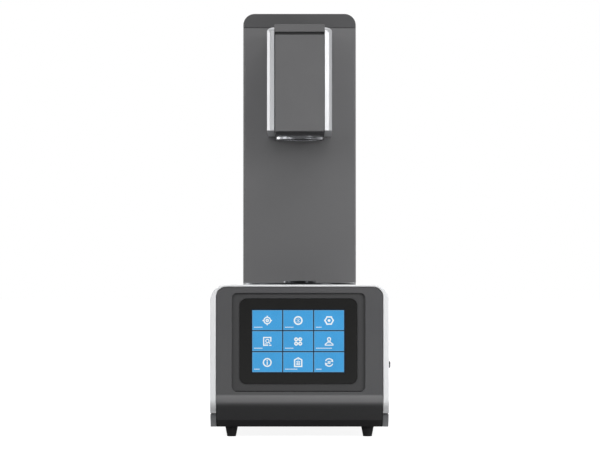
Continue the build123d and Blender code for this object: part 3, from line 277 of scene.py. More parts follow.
def spread(tree, noise, low=0.0, high=1.0):
    # Noise stretched from its usual span to a wanted one
    return ranged(tree, noise, *noiseSpan, low, high)


def softCorner(tree, width):
    # Mean normal of the surfaces within the width, which rounds a sharp corner's shading
    return addNode(tree, "ShaderNodeBevel", {"Radius": width}, samples=4).outputs["Normal"]


def edgeShare(tree, rounded):
    # 1 along an edge and 0 on an open face: how far the rounded normal leans from the plain one
    plain = addNode(tree, "ShaderNodeNewGeometry").outputs["Normal"]
    lean = addNode(tree, "ShaderNodeVectorMath", {0: rounded, 1: plain}, operation="DOT_PRODUCT")
    return ranged(tree, lean.outputs["Value"], *wornLean, 0.0, 1.0)


def worn(tree, tone, edge, share, edgeTone):
    # Tone that goes over to the edge's own by the edge share times its strength
    return blended(tree, math2(tree, "MULTIPLY", edge, share), tone, edgeTone)


def relief(tree, height, depth, normal):
    # Normal tilted by the slope of height times depth
    feeds = {"Height": height, "Distance": depth, "Strength": 1.0, "Normal": normal}
    return addNode(tree, "ShaderNodeBump", feeds).outputs["Normal"]


def finishUp(tree, shader):
    # Joins the shader to the material's output
    addNode(tree, "ShaderNodeOutputMaterial", {"Surface": shader.outputs[0]})


def principled(tree, feeds):
    # A whole finish from one principled shader
    finishUp(tree, addNode(tree, "ShaderNodeBsdfPrincipled", feeds))


def insideBox(tree, coords, middle, size, axes=("X", "Z")):
    # 1 where the distance from the middle is under half the size on both axes, else 0
    parts = parted(tree, coords)
    shares = []
    for axis, centre, width in zip(axes, middle, size):
        away = math2(tree, "ABSOLUTE", math2(tree, "SUBTRACT", parts[axis], centre))
        shares.append(math2(tree, "LESS_THAN", away, width / 2))
    return math2(tree, "MULTIPLY", shares[0], shares[1])


coatRough = 0.2
wipe = {"stretch": (1, 1, 0.25), "scale": 45.0, "span": (0.3, 0.75)}     # streaks in a coat's gloss


def paintFinish(name, p):
    # Sprayed paint: orange peel in the relief, a slow drift in tone, edges a shade off.
    # Where a foot tone is given, the tone goes over to it evenly from the upper height to the lower: painted
    # shade where it is darker towards the foot, painted reflection of the floor where it is paler.
    # Where a sunk tone is given, the tone is darker behind a depth and below a height: painted shade in the
    # head's groove and on what lies behind its face.
    finish, tree = startFinish(name)
    spot = onObject(tree)
    parts = parted(tree, spot)
    peel = cloud(tree, spot, p["peelScale"], 2.0)
    rounded = softCorner(tree, p["corner"])
    tone = blended(tree, spread(tree, cloud(tree, spot, p["driftScale"], 4.0)), p["colour"], p["drift"])
    # painted light by height: painted shade on the column's foot, painted floor reflection on the skirt's
    if "paintedFootLight" in p:
        tone = blended(tree, ranged(tree, parts["Z"], *p["footHeights"], 0.0, 1.0), tone, p["paintedFootLight"])
    # painted shade in the head's groove and behind its face
    if "paintedSunkShade" in p:
        behind = math2(tree, "GREATER_THAN", parts["Y"], p["sunkDepth"])
        below = math2(tree, "LESS_THAN", parts["Z"], p["sunkTop"])
        tone = blended(tree, math2(tree, "MULTIPLY", behind, below), tone, p["paintedSunkShade"])
    smear = cloud(tree, onObject(tree, stretch=wipe["stretch"]), wipe["scale"], 5.0)
    low, high = p["rough"] - p["roughSpread"], p["rough"] + p["roughSpread"]
    principled(tree, {
        "Base Color": worn(tree, tone, edgeShare(tree, rounded), p["edgeShare"], p["edge"]),
        "Roughness": ranged(tree, smear, *wipe["span"], low, high),
        "Metallic": p.get("metal", 0.0),
        "Specular IOR Level": p.get("shine", 0.5),
        "Coat Weight": p.get("coat", 0.0),
        "Coat Roughness": coatRough,
        "Normal": relief(tree, peel, p["peelDepth"], rounded),
    })
    return finish


moulding = {"flowStretch": (0.35, 1, 1), "flowGloss": 0.04, "edgeGloss": 0.08}


def mouldedFinish(name, p):
    # Moulded plastic: spark-eroded grain, faint flow bands, edges polished by handling.
    # Where a floor is given, what lies behind that depth inside its outline is darker; a band along its
    # outline is paler, painted light against the shade of the recess's walls, with a painted shadow line
    # at its foot. Where a roll is given, its band of heights is paler, a painted highlight; below it lies
    # painted shade on the undercut, and darker painted shade on the toe.
    finish, tree = startFinish(name)
    spot = onObject(tree)
    parts = parted(tree, spot)
    cells = addNode(tree, "ShaderNodeTexVoronoi", {"Vector": spot, "Scale": p["grainScale"]})
    fine = cloud(tree, spot, p["grainScale"] * 0.6, 2.0)
    grain = math2(tree, "ADD", cells.outputs["Distance"], fine)
    flow = cloud(tree, onObject(tree, stretch=moulding["flowStretch"]), p["driftScale"], 3.0)
    rounded = softCorner(tree, p["corner"])
    edge = edgeShare(tree, rounded)
    tone = blended(tree, spread(tree, flow), p["colour"], p["drift"])
    if "floorDepth" in p:
        middle, size, edgeWidth = p["floorMiddle"], p["floorSize"], p["floorRim"]
        behind = math2(tree, "GREATER_THAN", parts["Y"], p["floorDepth"])
        sunk = math2(tree, "MULTIPLY", insideBox(tree, spot, middle, size), behind)
        tone = blended(tree, sunk, tone, p["floorColour"])
        innerMiddle = [m + s for m, s in zip(middle, p["rimShift"])]
        inner = insideBox(tree, spot, innerMiddle, [w - 2 * edgeWidth for w in size])
        rim = math2(tree, "MULTIPLY", sunk, math2(tree, "SUBTRACT", 1.0, inner))
        foot = math2(tree, "LESS_THAN", parts["Z"], middle[1] - size[1] / 2 + p["rimFootHeight"])
        # painted light along the recess's outline against the shade of its walls, and a painted shadow line
        # at its foot
        tone = blended(tree, rim, tone, blended(tree, foot, p["paintedRimLight"], p["paintedRimFootShadow"]))
    # painted highlight on the roll, painted shade on the undercut and on the toe
    if "paintedRollHighlight" in p:
        toe, low, full, top = p["rollHeights"]
        under = ranged(tree, parts["Z"], low, full, 0.0, 1.0, "SMOOTHSTEP")
        over = ranged(tree, parts["Z"], top + p["rollSoft"], top - p["rollSoft"], 0.0, 1.0)
        tone = blended(tree, math2(tree, "MULTIPLY", under, over), tone, p["paintedRollHighlight"])
        tone = blended(tree, under, p["paintedUndercutShade"], tone)
        tone = blended(tree, math2(tree, "LESS_THAN", parts["Z"], toe), tone, p["paintedToeShade"])
    swing = moulding["flowGloss"]
    rough = spread(tree, flow, p["rough"] + swing, p["rough"] - swing)
    rough = math2(tree, "SUBTRACT", rough, math2(tree, "MULTIPLY", edge, moulding["edgeGloss"]))
    principled(tree, {
        "Base Color": worn(tree, tone, edge, p["edgeShare"], p["edge"]),
        "Roughness": rough,
        "Specular IOR Level": p.get("shine", 0.5),
        "Normal": relief(tree, grain, p["grainDepth"], rounded),
    })
    return finish


turning = {
    "edgeShare": 0.5, "ringGloss": 0.05, "hazeScale": 70.0, "hazeSpan": (0.45, 0.8), "hazeGloss": 0.04,
}


def turnedFinish(name, p):
    # Turned and polished metal: rings of the tool, from noise read at the radius only, which is the
    # root of the sum of the squares of the two distances from the axis
    finish, tree = startFinish(name)
    coords = onObject(tree, shift=p["centre"])
    first, second, along = [parted(tree, coords)[key] for key in p["axes"]]
    squares = [math2(tree, "MULTIPLY", part, part) for part in (first, second)]
    radius = math2(tree, "SQRT", math2(tree, "ADD", *squares))
    ringPlace = addNode(tree, "ShaderNodeCombineXYZ", {"X": radius, "Y": along}).outputs[0]
    rings = cloud(tree, ringPlace, p["ringScale"], 2.0, 0.6)
    haze = cloud(tree, coords, turning["hazeScale"], 4.0)
    rounded = softCorner(tree, p["corner"])
    tone = blended(tree, haze, p["colour"], p["drift"])
    ringRough = spread(tree, rings, p["rough"], p["rough"] + turning["ringGloss"])
    hazeRough = ranged(tree, haze, *turning["hazeSpan"], 0.0, turning["hazeGloss"])
    principled(tree, {
        "Base Color": worn(tree, tone, edgeShare(tree, rounded), turning["edgeShare"], p["edge"]),
        "Roughness": math2(tree, "ADD", ringRough, hazeRough),
        "Metallic": 1.0,
        "Normal": relief(tree, rings, p["ringDepth"], rounded),
    })
    return finish


brushing = {"hazeScale": 30.0, "smoother": 0.05, "rougher": 0.07}


def brushedFinish(name, p):
    # Brushed, rolled or sawn metal: noise drawn out along one direction
    finish, tree = startFinish(name)
    streaks = cloud(tree, onObject(tree, stretch=p["stretch"]), p["streakScale"], 3.0, 0.6)
    haze = cloud(tree, onObject(tree), brushing["hazeScale"], 4.0)
    rounded = softCorner(tree, p["corner"])
    tone = blended(tree, spread(tree, haze), p["colour"], p["drift"])
    low, high = p["rough"] - brushing["smoother"], p["rough"] + brushing["rougher"]
    principled(tree, {
        "Base Color": worn(tree, tone, edgeShare(tree, rounded), p["edgeShare"], p["edge"]),
        "Roughness": spread(tree, streaks, low, high),
        "Metallic": p["metal"],
        "Normal": relief(tree, streaks, p["streakDepth"], rounded),
    })
    return finish


def spherePaintFinish(name, p):
    # Chalky white coat, sprayed thick: lumps in two sizes, the fine ones added, and a faint yellowing
    finish, tree = startFinish(name)
    spot = onObject(tree)
    coarse = cloud(tree, spot, p["lumpScale"], 4.0)
    lumps = math2(tree, "ADD", coarse, cloud(tree, spot, p["lumpScale"] * 6, 2.0))
    age = ranged(tree, cloud(tree, spot, p["ageScale"], 3.0), *p["ageSpan"], 0.0, 1.0)
    principled(tree, {
        "Base Color": blended(tree, age, p["colour"], p["aged"]),
        "Roughness": ranged(tree, lumps, 2 * noiseSpan[0], p["lumpTop"], *p["rough"]),
        "Specular IOR Level": p["shine"],
        "Normal": relief(tree, lumps, p["lumpDepth"], softCorner(tree, p["corner"])),
    })
    return finish


screen = {
    "middle": (-0.0016, 0.11585),       # x and z of the lit area
    "size": (0.1104, 0.0744),
    "glassRear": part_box("cover_glass")[1][1],
}
windowMargin = 0.0012       # how far the clear window reaches past the lit area on each side
glassLook = {
    "windowMiddle": screen["middle"], "windowSize": [w + 2 * windowMargin for w in screen["size"]],
    "print": sRgb(27, 27, 27), "printHaze": sRgb(33, 33, 32), "edge": sRgb(66, 68, 70),
    "edgeShare": 0.7, "corner": 0.0004, "hazeScale": 55.0, "hazeSpan": (0.35, 0.75),
    "hazeStretch": (1, 1, 0.6), "printRough": (0.10, 0.24), "printShine": 0.4,
    "paneTint": (0.96, 0.97, 0.97, 1), "paneGloss": sRgb(16, 16, 18), "paneRough": (0.08, 0.2),
    "shareSpan": (0.3, 0.8), "glossShare": (0.05, 0.09),
}


def glassPrintFinish(name, g):
    # Black print behind a clear pane, with a see-through window, and a faint finger haze that sets
    # roughness and the share of gloss
    finish, tree = startFinish(name)
    window = insideBox(tree, onObject(tree), g["windowMiddle"], g["windowSize"])
    haze = cloud(tree, onObject(tree, stretch=g["hazeStretch"]), g["hazeScale"], 5.0, 0.65)
    rounded = softCorner(tree, g["corner"])
    tone = blended(tree, haze, g["print"], g["printHaze"])
    printed = addNode(tree, "ShaderNodeBsdfPrincipled", {
        "Base Color": worn(tree, tone, edgeShare(tree, rounded), g["edgeShare"], g["edge"]),
        "Roughness": ranged(tree, haze, *g["hazeSpan"], *g["printRough"]),
        "Specular IOR Level": g["printShine"],
        "Normal": rounded,
    })
    clear = addNode(tree, "ShaderNodeBsdfTransparent", {"Color": g["paneTint"]})
    gloss = addNode(tree, "ShaderNodeBsdfPrincipled", {
        "Base Color": g["paneGloss"], "Roughness": ranged(tree, haze, *g["hazeSpan"], *g["paneRough"]),
    })
    share = ranged(tree, haze, *g["shareSpan"], *g["glossShare"])
    pane = addNode(tree, "ShaderNodeMixShader", {0: share, 1: clear.outputs[0], 2: gloss.outputs[0]})
    both = {0: window, 1: printed.outputs[0], 2: pane.outputs[0]}
    finishUp(tree, addNode(tree, "ShaderNodeMixShader", both))
    return finish


lensLook = {
    "clear": sRgb(236, 240, 248), "bloom": sRgb(214, 205, 238), "rim": 0.35,
    "dustScale": 380.0, "dustSpan": (0.6, 0.8), "rough": (0.01, 0.12), "index": 1.52,
    "coat": 0.3, "coatTint": (0.62, 0.72, 0.9, 1.0),
}


def lensGlassFinish(name, g):
    # Coated optical glass: clear, with a violet bloom towards its rim and the faintest dust
    finish, tree = startFinish(name)
    dust = cloud(tree, onObject(tree), g["dustScale"], 5.0, 0.7)
    facing = addNode(tree, "ShaderNodeLayerWeight", {"Blend": g["rim"]}).outputs["Facing"]
    principled(tree, {
        "Base Color": blended(tree, facing, g["clear"], g["bloom"]),
        "Roughness": ranged(tree, dust, *g["dustSpan"], *g["rough"]),
        "IOR": g["index"],
        "Transmission Weight": 1.0,
        "Coat Weight": g["coat"],
        "Coat Tint": g["coatTint"],
    })
    return finish


boardLook = {
    "runWidth": 0.012, "runSoft": 0.3, "runLength": 0.9, "runPitch": 0.22, "runShift": 0.37,
    "padSpan": (0.12, 0.16), "bodyScale": 220.0, "glossScale": 90.0, "rough": (0.28, 0.45),
    "runDepth": 0.00004, "step": 0.0002, "corner": 0.0002, "padMetal": 0.9, "thickness": 1.65 * mm,
}


def boardFinish(name, p, b=boardLook):
    # Printed board: lacquer over copper runs and round pads, and dark bodies on whatever stands
    # above its top; a pad is metal where no body covers it
    finish, tree = startFinish(name)
    coords = onObject(tree)
    runs = addNode(tree, "ShaderNodeTexBrick", {
        "Vector": coords, "Color1": (0, 0, 0, 1), "Color2": (0.25, 0.25, 0.25, 1), "Mortar": (1, 1, 1, 1),
        "Scale": p["runScale"], "Mortar Size": b["runWidth"], "Mortar Smooth": b["runSoft"],
        "Brick Width": b["runLength"], "Row Height": b["runPitch"],
    }, offset=b["runShift"]).outputs["Color"]
    cells = addNode(tree, "ShaderNodeTexVoronoi", {"Vector": coords, "Scale": p["padScale"]})
    pad = ranged(tree, cells.outputs["Distance"], *b["padSpan"], 1.0, 0.0)
    tone = blended(tree, pad, blended(tree, runs, p["lacquer"], p["run"]), p["pad"])
    above = ranged(tree, parted(tree, coords)["Z"], p["top"], p["top"] + b["step"], 0.0, 1.0)
    body = blended(tree, cloud(tree, coords, b["bodyScale"]), p["body"], p["bodyDrift"])
    bare = math2(tree, "SUBTRACT", b["padMetal"], above, clamp=True)
    principled(tree, {
        "Base Color": blended(tree, above, tone, body),
        "Metallic": math2(tree, "MULTIPLY", pad, bare),
        "Roughness": spread(tree, cloud(tree, coords, b["glossScale"], 4.0), *b["rough"]),
        "Normal": relief(tree, runs, b["runDepth"], softCorner(tree, b["corner"])),
    })
    return finish


darkCoat = {      # of column and cap
    "edgeShare": 0.4, "driftScale": 8.0, "peelScale": 1500.0, "peelDepth": 0.00006,
    "corner": 0.0006, "rough": 0.5, "roughSpread": 0.04, "shine": 0.3,
}
opticalTurning = {      # of the pieces turned about the optical axis
    "centre": (-opticalAxis[0], -opticalAxis[1], 0), "axes": ("X", "Y", "Z"),
    "ringScale": 900.0, "ringDepth": 0.00002, "corner": 0.0003,
}
finishes = {      # how it is made, the nodes that wear it, and its values
    "shellPaint": (paintFinish, ["outer_shell"], {
        **tones((240, 241, 242), (234, 235, 237), (252, 252, 252)),
        "edgeShare": 0.9, "driftScale": 9.0, "peelScale": 900.0, "peelDepth": 0.00004,
        "corner": 0.0005, "rough": 0.36, "roughSpread": 0.05, "coat": 0.15,
    }),
    "skirtPaint": (paintFinish, ["bottom_tray"], {
        **tones((118, 119, 122), (111, 112, 115), (160, 161, 163)),
        "edgeShare": 0.6, "driftScale": 12.0, "peelScale": 1400.0, "peelDepth": 0.00003,
        "corner": 0.0004, "rough": 0.4, "roughSpread": 0.05, "metal": 0.45,
        # painted reflection of the floor: the skirt is paler towards its foot
        "paintedFootLight": sRgb(178, 179, 181), "footHeights": (0.0285, 0.013),
    }),
    "fasciaPlastic": (mouldedFinish, ["front_fascia"], {
        **tones((90, 90, 91), (86, 86, 88), (108, 108, 109)),
        "edgeShare": 0.45, "driftScale": 11.0, "grainScale": 1500.0, "grainDepth": 0.00005,
        "corner": 0.0006, "rough": 0.44, "shine": 0.25,
        "floorDepth": -0.1527, "floorColour": sRgb(72, 72, 73),
        "floorMiddle": (-0.0012, 0.1144), "floorSize": (0.1614, 0.1192), "floorRim": 0.0011,
        # painted light along the recess's outline, and a painted shadow line at its foot
        "rimShift": (-0.0004, 0.0002), "paintedRimLight": sRgb(78, 78, 79),
        "paintedRimFootShadow": sRgb(10, 10, 11), "rimFootHeight": 0.0022,
        # painted highlight on the chin's roll, painted shade below it on the undercut and the toe
        "paintedRollHighlight": sRgb(116, 116, 117), "paintedUndercutShade": sRgb(65, 65, 66), "paintedToeShade": sRgb(36, 36, 37),
        "rollHeights": (0.0205, 0.037, 0.044, 0.0510), "rollSoft": 0.0009,
    }),
    "glassPrint": (glassPrintFinish, ["cover_glass"], glassLook),
    "columnPaint": (paintFinish, ["column_front", "column_rear"], {
        **tones((112, 112, 113), (108, 108, 109), (126, 126, 128)),
        **darkCoat,
        # painted shade: the column is darker towards its foot
        "paintedFootLight": sRgb(98, 98, 99), "footHeights": (0.315, 0.19),
    }),
    "capPaint": (paintFinish, ["column_cap"], {
        **tones((86, 86, 87), (82, 82, 83), (100, 100, 102)),
        **darkCoat,
    }),
    "coverSatin": (paintFinish, ["head_side_left", "head_side_right"], {
        **tones((226, 227, 229), (220, 221, 224), (244, 244, 245)),
        "edgeShare": 0.5, "driftScale": 14.0, "peelScale": 1600.0, "peelDepth": 0.00002,
        "corner": 0.0004, "rough": 0.32, "roughSpread": 0.03, "metal": 0.52,
    }),
    "headPaint": (paintFinish, ["head_housing", "head_front_cover"], {
        **tones((108, 108, 109), (104, 104, 105), (124, 124, 125)),
        "edgeShare": 0.5, "driftScale": 14.0, "peelScale": 1500.0, "peelDepth": 0.00006,
        "corner": 0.0004, "rough": 0.46, "roughSpread": 0.05, "shine": 0.3,
        # painted shade: darker in the groove below the cap band and behind the front
        "paintedSunkShade": sRgb(66, 66, 67), "sunkDepth": -0.1, "sunkTop": 0.4932,
    }),
    "platePaint": (paintFinish, ["head_bottom_plate", "rear_panel"], {
        **tones((32, 32, 34), (28, 28, 30), (54, 54, 56)),
        "edgeShare": 0.6, "driftScale": 16.0, "peelScale": 1200.0, "peelDepth": 0.00007,
        "corner": 0.0004, "rough": 0.5, "roughSpread": 0.06,
    }),
    # painted shade: a darkened copy of the polished steel, so the stage's rim shows a dark reflection
    "stageSteelPaintedShade": (turnedFinish, ["stage_plate", "port_ring"], {
        **tones((82, 83, 86), (78, 79, 82), (132, 133, 135)),
        **opticalTurning, "rough": 0.17,
    }),
    "barrelSteel": (turnedFinish, ["lens_barrel"], {
        **tones((196, 198, 202), (178, 180, 184), (225, 226, 228)),
        **opticalTurning, "rough": 0.18,
    }),
    "buttonMetal": (turnedFinish, ["power_button", "button_bezel"], {
        **tones((150, 151, 154), (134, 135, 139), (205, 206, 208)),
        "centre": (0, -buttonAxis[0], -buttonAxis[1]), "axes": ("Y", "Z", "X"),
        "ringScale": 1500.0, "ringDepth": 0.00002, "corner": 0.0002, "rough": 0.17,
    }),
    "footRubber": (mouldedFinish, [
        "front_left_foot", "front_right_foot", "rear_left_foot", "rear_right_foot",
    ], {
        **tones((30, 30, 31), (24, 24, 25), (56, 55, 54)),
        "edgeShare": 0.5, "driftScale": 120.0, "grainScale": 1800.0, "grainDepth": 0.00012,
        "corner": 0.0005, "rough": 0.72, "shine": 0.35,
    }),
    "fastenerSteel": (brushedFinish, [
        "arm_bolts", "board_screws", "bracket_screws", "cover_screws", "foot_studs", "head_screws",
        "pillar_screws", "rear_screws", "sphere_screws", "spine_bolts", "stage_screws", "button_nut",
    ], {
        **tones((150, 152, 155), (128, 130, 134), (212, 213, 215)),
        "edgeShare": 0.7, "stretch": (1, 1, 0.15), "streakScale": 1800.0, "streakDepth": 0.00002,
        "corner": 0.0002, "rough": 0.34, "metal": 1.0,
    }),
    "sheetSteel": (brushedFinish, ["display_bracket", "display_panel"], {
        **tones((168, 172, 178), (148, 152, 160), (196, 198, 200)),
        "edgeShare": 0.5, "stretch": (1, 1, 0.2), "streakScale": 160.0, "streakDepth": 0.00002,
        "corner": 0.0002, "rough": 0.34, "metal": 0.95,
    }),
    "frameMetal": (brushedFinish, ["deck_plate", "deck_pillars", "column_spine", "head_arm"], {
        **tones((176, 178, 180), (160, 162, 165), (205, 206, 208)),
        "edgeShare": 0.6, "stretch": (0.04, 1, 1), "streakScale": 500.0, "streakDepth": 0.00003,
        "corner": 0.0004, "rough": 0.38, "metal": 0.9,
    }),
    "spherePaint": (spherePaintFinish, ["sphere_upper", "sphere_lower"], {
        "colour": sRgb(238, 238, 234), "aged": sRgb(229, 227, 219), "ageScale": 18.0,
        "ageSpan": (0.35, 0.7), "rough": (0.82, 0.95), "shine": 0.25,
        "lumpScale": 240.0, "lumpTop": 1.3, "lumpDepth": 0.00012, "corner": 0.0004,
    }),
    "blackMetal": (brushedFinish, ["light_trap", "detector_housing", "lens_retainer", "lamp_holder"], {
        **tones((30, 30, 32), (24, 24, 26), (96, 96, 98)),
        "edgeShare": 0.6, "stretch": (1, 1, 0.2), "streakScale": 1100.0, "streakDepth": 0.00003,
        "corner": 0.0003, "rough": 0.5, "metal": 0.3,
    }),
    "sinkMetal": (brushedFinish, ["heat_sink"], {
        **tones((58, 59, 62), (48, 49, 52), (120, 121, 124)),
        "edgeShare": 0.7, "stretch": (1, 0.05, 1), "streakScale": 700.0, "streakDepth": 0.00003,
        "corner": 0.0002, "rough": 0.42, "metal": 0.7,
    }),
    "lensGlass": (lensGlassFinish, ["condenser_lens", "objective_lens"], lensLook),
    "boardGreen": (boardFinish, ["main_board"], {
        "lacquer": sRgb(22, 84, 48), "run": sRgb(46, 122, 70), "pad": sRgb(206, 176, 104),
        "body": sRgb(34, 34, 36), "bodyDrift": sRgb(46, 46, 48),
        "top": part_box("main_board")[0][2] + boardLook["thickness"], "runScale": 60.0, "padScale": 150.0,
    }),
    "boardWhite": (boardFinish, ["lamp_board"], {
        "lacquer": sRgb(228, 229, 226), "run": sRgb(206, 208, 205), "pad": sRgb(208, 182, 120),
        "body": sRgb(228, 229, 226), "bodyDrift": sRgb(216, 218, 216),
        "top": 1.0, "runScale": 150.0, "padScale": 240.0,
    }),
    "socketPlastic": (mouldedFinish, ["power_jack", "data_socket", "switch_body"], {
        **tones((26, 26, 28), (20, 20, 21), (58, 58, 60)),
        "edgeShare": 0.5, "driftScale": 160.0, "grainScale": 2600.0, "grainDepth": 0.00006,
        "corner": 0.0003, "rough": 0.42,
    }),
}


def dress(wardrobe):
    # Each finish is made from its values and goes into all slots of its nodes, or into a first slot
    # where a node has none
    left, worked = set(nodes), {}
    for key, (make, names, look) in wardrobe.items():
        finish = worked[key] = make(key, look)
        for name in names:
            piece = nodes[name]
            left.discard(name)
            if not piece.material_slots:
                piece.data.materials.append(finish)
            for slot in piece.material_slots:
                slot.material = finish
    print("nodes dressed, left over:", sorted(left))
    return worked


coats = dress(finishes)


# Shapes
def pieceFrom(name, points, faces, finish, body):
    # A closed mesh of points and faces, its faces turned outwards, riding on a body
    mesh = bpy.data.meshes.new(name)
    mesh.from_pydata(points.tolist(), [], faces.tolist() if hasattr(faces, "tolist") else faces)
    work = bmesh.new()
    work.from_mesh(mesh)
    bmesh.ops.recalc_face_normals(work, faces=work.faces)
    work.to_mesh(mesh)
    work.free()
    mesh.materials.append(finish)
    piece = bpy.data.objects.new(name, mesh)
    bpy.context.scene.collection.objects.link(piece)
    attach(piece, body)
    return piece


def loopFaces(rows, columns, start=0, closedRows=False, closedColumns=False):
    # Quads of a grid of points: each joins its own row and column to the next ones, and the last to
    # the first where a direction is closed
    row = np.arange(rows if closedRows else rows - 1)
    column = np.arange(columns if closedColumns else columns - 1)
    r, c = np.meshgrid(row, column, indexing="ij")
    r2 = (r + 1) % rows
    c2 = (c + 1) % columns
    quads = np.stack([r * columns + c, r * columns + c2, r2 * columns + c2, r2 * columns + c], axis=-1)
    return quads.reshape(-1, 4) + start


def arcPath(middleX, middleY, radius, start, end, count):
    # Points of a circle's arc: middle plus radius times cosine and sine of the angle
    angle = np.radians(np.linspace(start, end, count))
    return np.stack([middleX + radius * np.cos(angle), middleY + radius * np.sin(angle)], axis=1)


sharpestCorner = 0.4     # least cosine of half a corner's turn, which keeps a mitre short
pinhole = 0.04           # what is left open in a filled disc, as a share of its radius


def stroke(path, width, closed=False):
    # Flat ribbon along a path: at each point the edges lie half the width to either side, along the
    # mean of the two neighbouring normals, lengthened at a corner by the cosine of its half angle
    path = np.asarray(path, dtype=float)
    if closed:
        before, after = np.roll(path, 1, axis=0), np.roll(path, -1, axis=0)
    else:
        before = np.vstack([2 * path[0] - path[1], path[:-1]])
        after = np.vstack([path[1:], 2 * path[-1] - path[-2]])
    comes, goes = path - before, after - path
    comes /= np.linalg.norm(comes, axis=1, keepdims=True)
    goes /= np.linalg.norm(goes, axis=1, keepdims=True)
    side = np.stack([-(comes + goes)[:, 1], (comes + goes)[:, 0]], axis=1)
    side /= np.linalg.norm(side, axis=1, keepdims=True)
    square = np.stack([-goes[:, 1], goes[:, 0]], axis=1)
    reach = width / 2 / np.maximum(np.sum(side * square, axis=1, keepdims=True), sharpestCorner)
    return np.stack([path + side * reach, path - side * reach], axis=1), closed


def line(width, *points):
    # Ribbon of straight runs through the given corners
    return stroke(points, width)


def blot(middleX, middleY, radius, count=20):
    # Filled disc as a ribbon round the mean of the radius and the pinhole, as wide as lies between them
    ring = arcPath(middleX, middleY, radius * (1 + pinhole) / 2, 0, 360 - 360 / count, count)
    return stroke(ring, radius * (1 - pinhole), closed=True)


def slabMesh(ribbons, thickness):
    # Each ribbon gets a lower copy, and the section's four corners are carried along it
    points, faces, start = [], [], 0
    for ribbon, closed in ribbons:
        count = len(ribbon)
        left, right = ribbon[:, 0], ribbon[:, 1]
        section = np.stack([
            np.column_stack([left, np.zeros(count)]),
            np.column_stack([right, np.zeros(count)]),
            np.column_stack([right, np.full(count, thickness)]),
            np.column_stack([left, np.full(count, thickness)]),
        ], axis=1)
        points.append(section.reshape(-1, 3))
        faces.append(loopFaces(count, 4, start, closedRows=closed, closedColumns=True))
        if not closed:
            faces.append(np.array([[0, 1, 2, 3], [3, 2, 1, 0]]) + [[start], [start + 4 * (count - 1)]])
        start += 4 * count
    return np.vstack(points), np.vstack(faces)


def onFront(flat, middleX, middleZ, depth):
    # Drawing plane to the instrument's front: right is x, up is z, thickness comes towards the eye
    return np.column_stack([flat[:, 0] + middleX, depth - flat[:, 2], flat[:, 1] + middleZ])


# Screen
glow = {
    "dotScale": 1500.0, "dotSize": 0.3, "dotGap": 0.03, "gapShare": 0.8, "swing": 0.03, "swingScale": 24.0,
    "roughScale": 300.0, "rough": (0.3, 0.4),
}


def lightFinish(name, colour, rim, strength, g=glow):
    # Lit dots of the panel: a fine square mesh, whose gaps are the colour times a share, over a glow
    # of the strength, give or take its swing
    finish, tree = startFinish(name)
    dots = addNode(tree, "ShaderNodeTexBrick", {
        "Vector": onObject(tree, turn=(math.pi / 2, 0, 0)),
        "Color1": colour, "Color2": rim, "Mortar": [c * g["gapShare"] for c in colour[:3]] + [1],
        "Scale": g["dotScale"], "Mortar Size": g["dotGap"],
        "Brick Width": g["dotSize"], "Row Height": g["dotSize"],
    }, offset=0.0).outputs["Color"]
    low, high = strength * (1 - g["swing"]), strength * (1 + g["swing"])
    principled(tree, {
        "Base Color": sRgb(10, 10, 12),
        "Roughness": spread(tree, cloud(tree, onObject(tree), g["roughScale"]), *g["rough"]),
        "Emission Color": dots,
        "Emission Strength": spread(tree, cloud(tree, onObject(tree), g["swingScale"]), low, high),
    })
    return finish


tileLight = lightFinish("tileLight", sRgb(72, 173, 238), sRgb(76, 170, 233), 1.07)
tileRimLight = lightFinish("tileRimLight", sRgb(120, 188, 236), sRgb(112, 182, 232), 1.0)
iconLight = lightFinish("iconLight", sRgb(250, 254, 255), sRgb(244, 251, 255), 1.15)
gapLight = lightFinish("gapLight", sRgb(22, 32, 52), sRgb(18, 28, 48), 1.0)

module = {
    "lip": 1.9 * mm,            # steel frame round the panel
    "lipDepth": 0.35 * mm,      # the lit face lies this far behind the lip
    "fall": 0.1 * mm,           # and its edge this far inside it
    "airGap": 0.15 * mm,        # between the glass and the lip
    "corner": 1.0 * mm,
    "leastCorner": 0.15 * mm,
    "cornerSteps": 6,
    "fold": 0.6 * mm,           # bend between the can's back and its sides, and half of it in front
    "backRing": 4.0 * mm,
    "litRing": 8.0 * mm,
}


def roundedLoop(lowX, highX, lowZ, highZ, corner, steps):
    # Rectangle with quarter circles at its corners, as one closed row of points
    spots = [(highX, highZ, 0), (lowX, highZ, 90), (lowX, lowZ, 180), (highX, lowZ, 270)]
    arcs = []
    for x, z, start in spots:
        inX = x - corner if x == highX else x + corner
        inZ = z - corner if z == highZ else z + corner
        arcs.append(arcPath(inX, inZ, corner, start, start + 90, steps))
    return np.vstack(arcs)


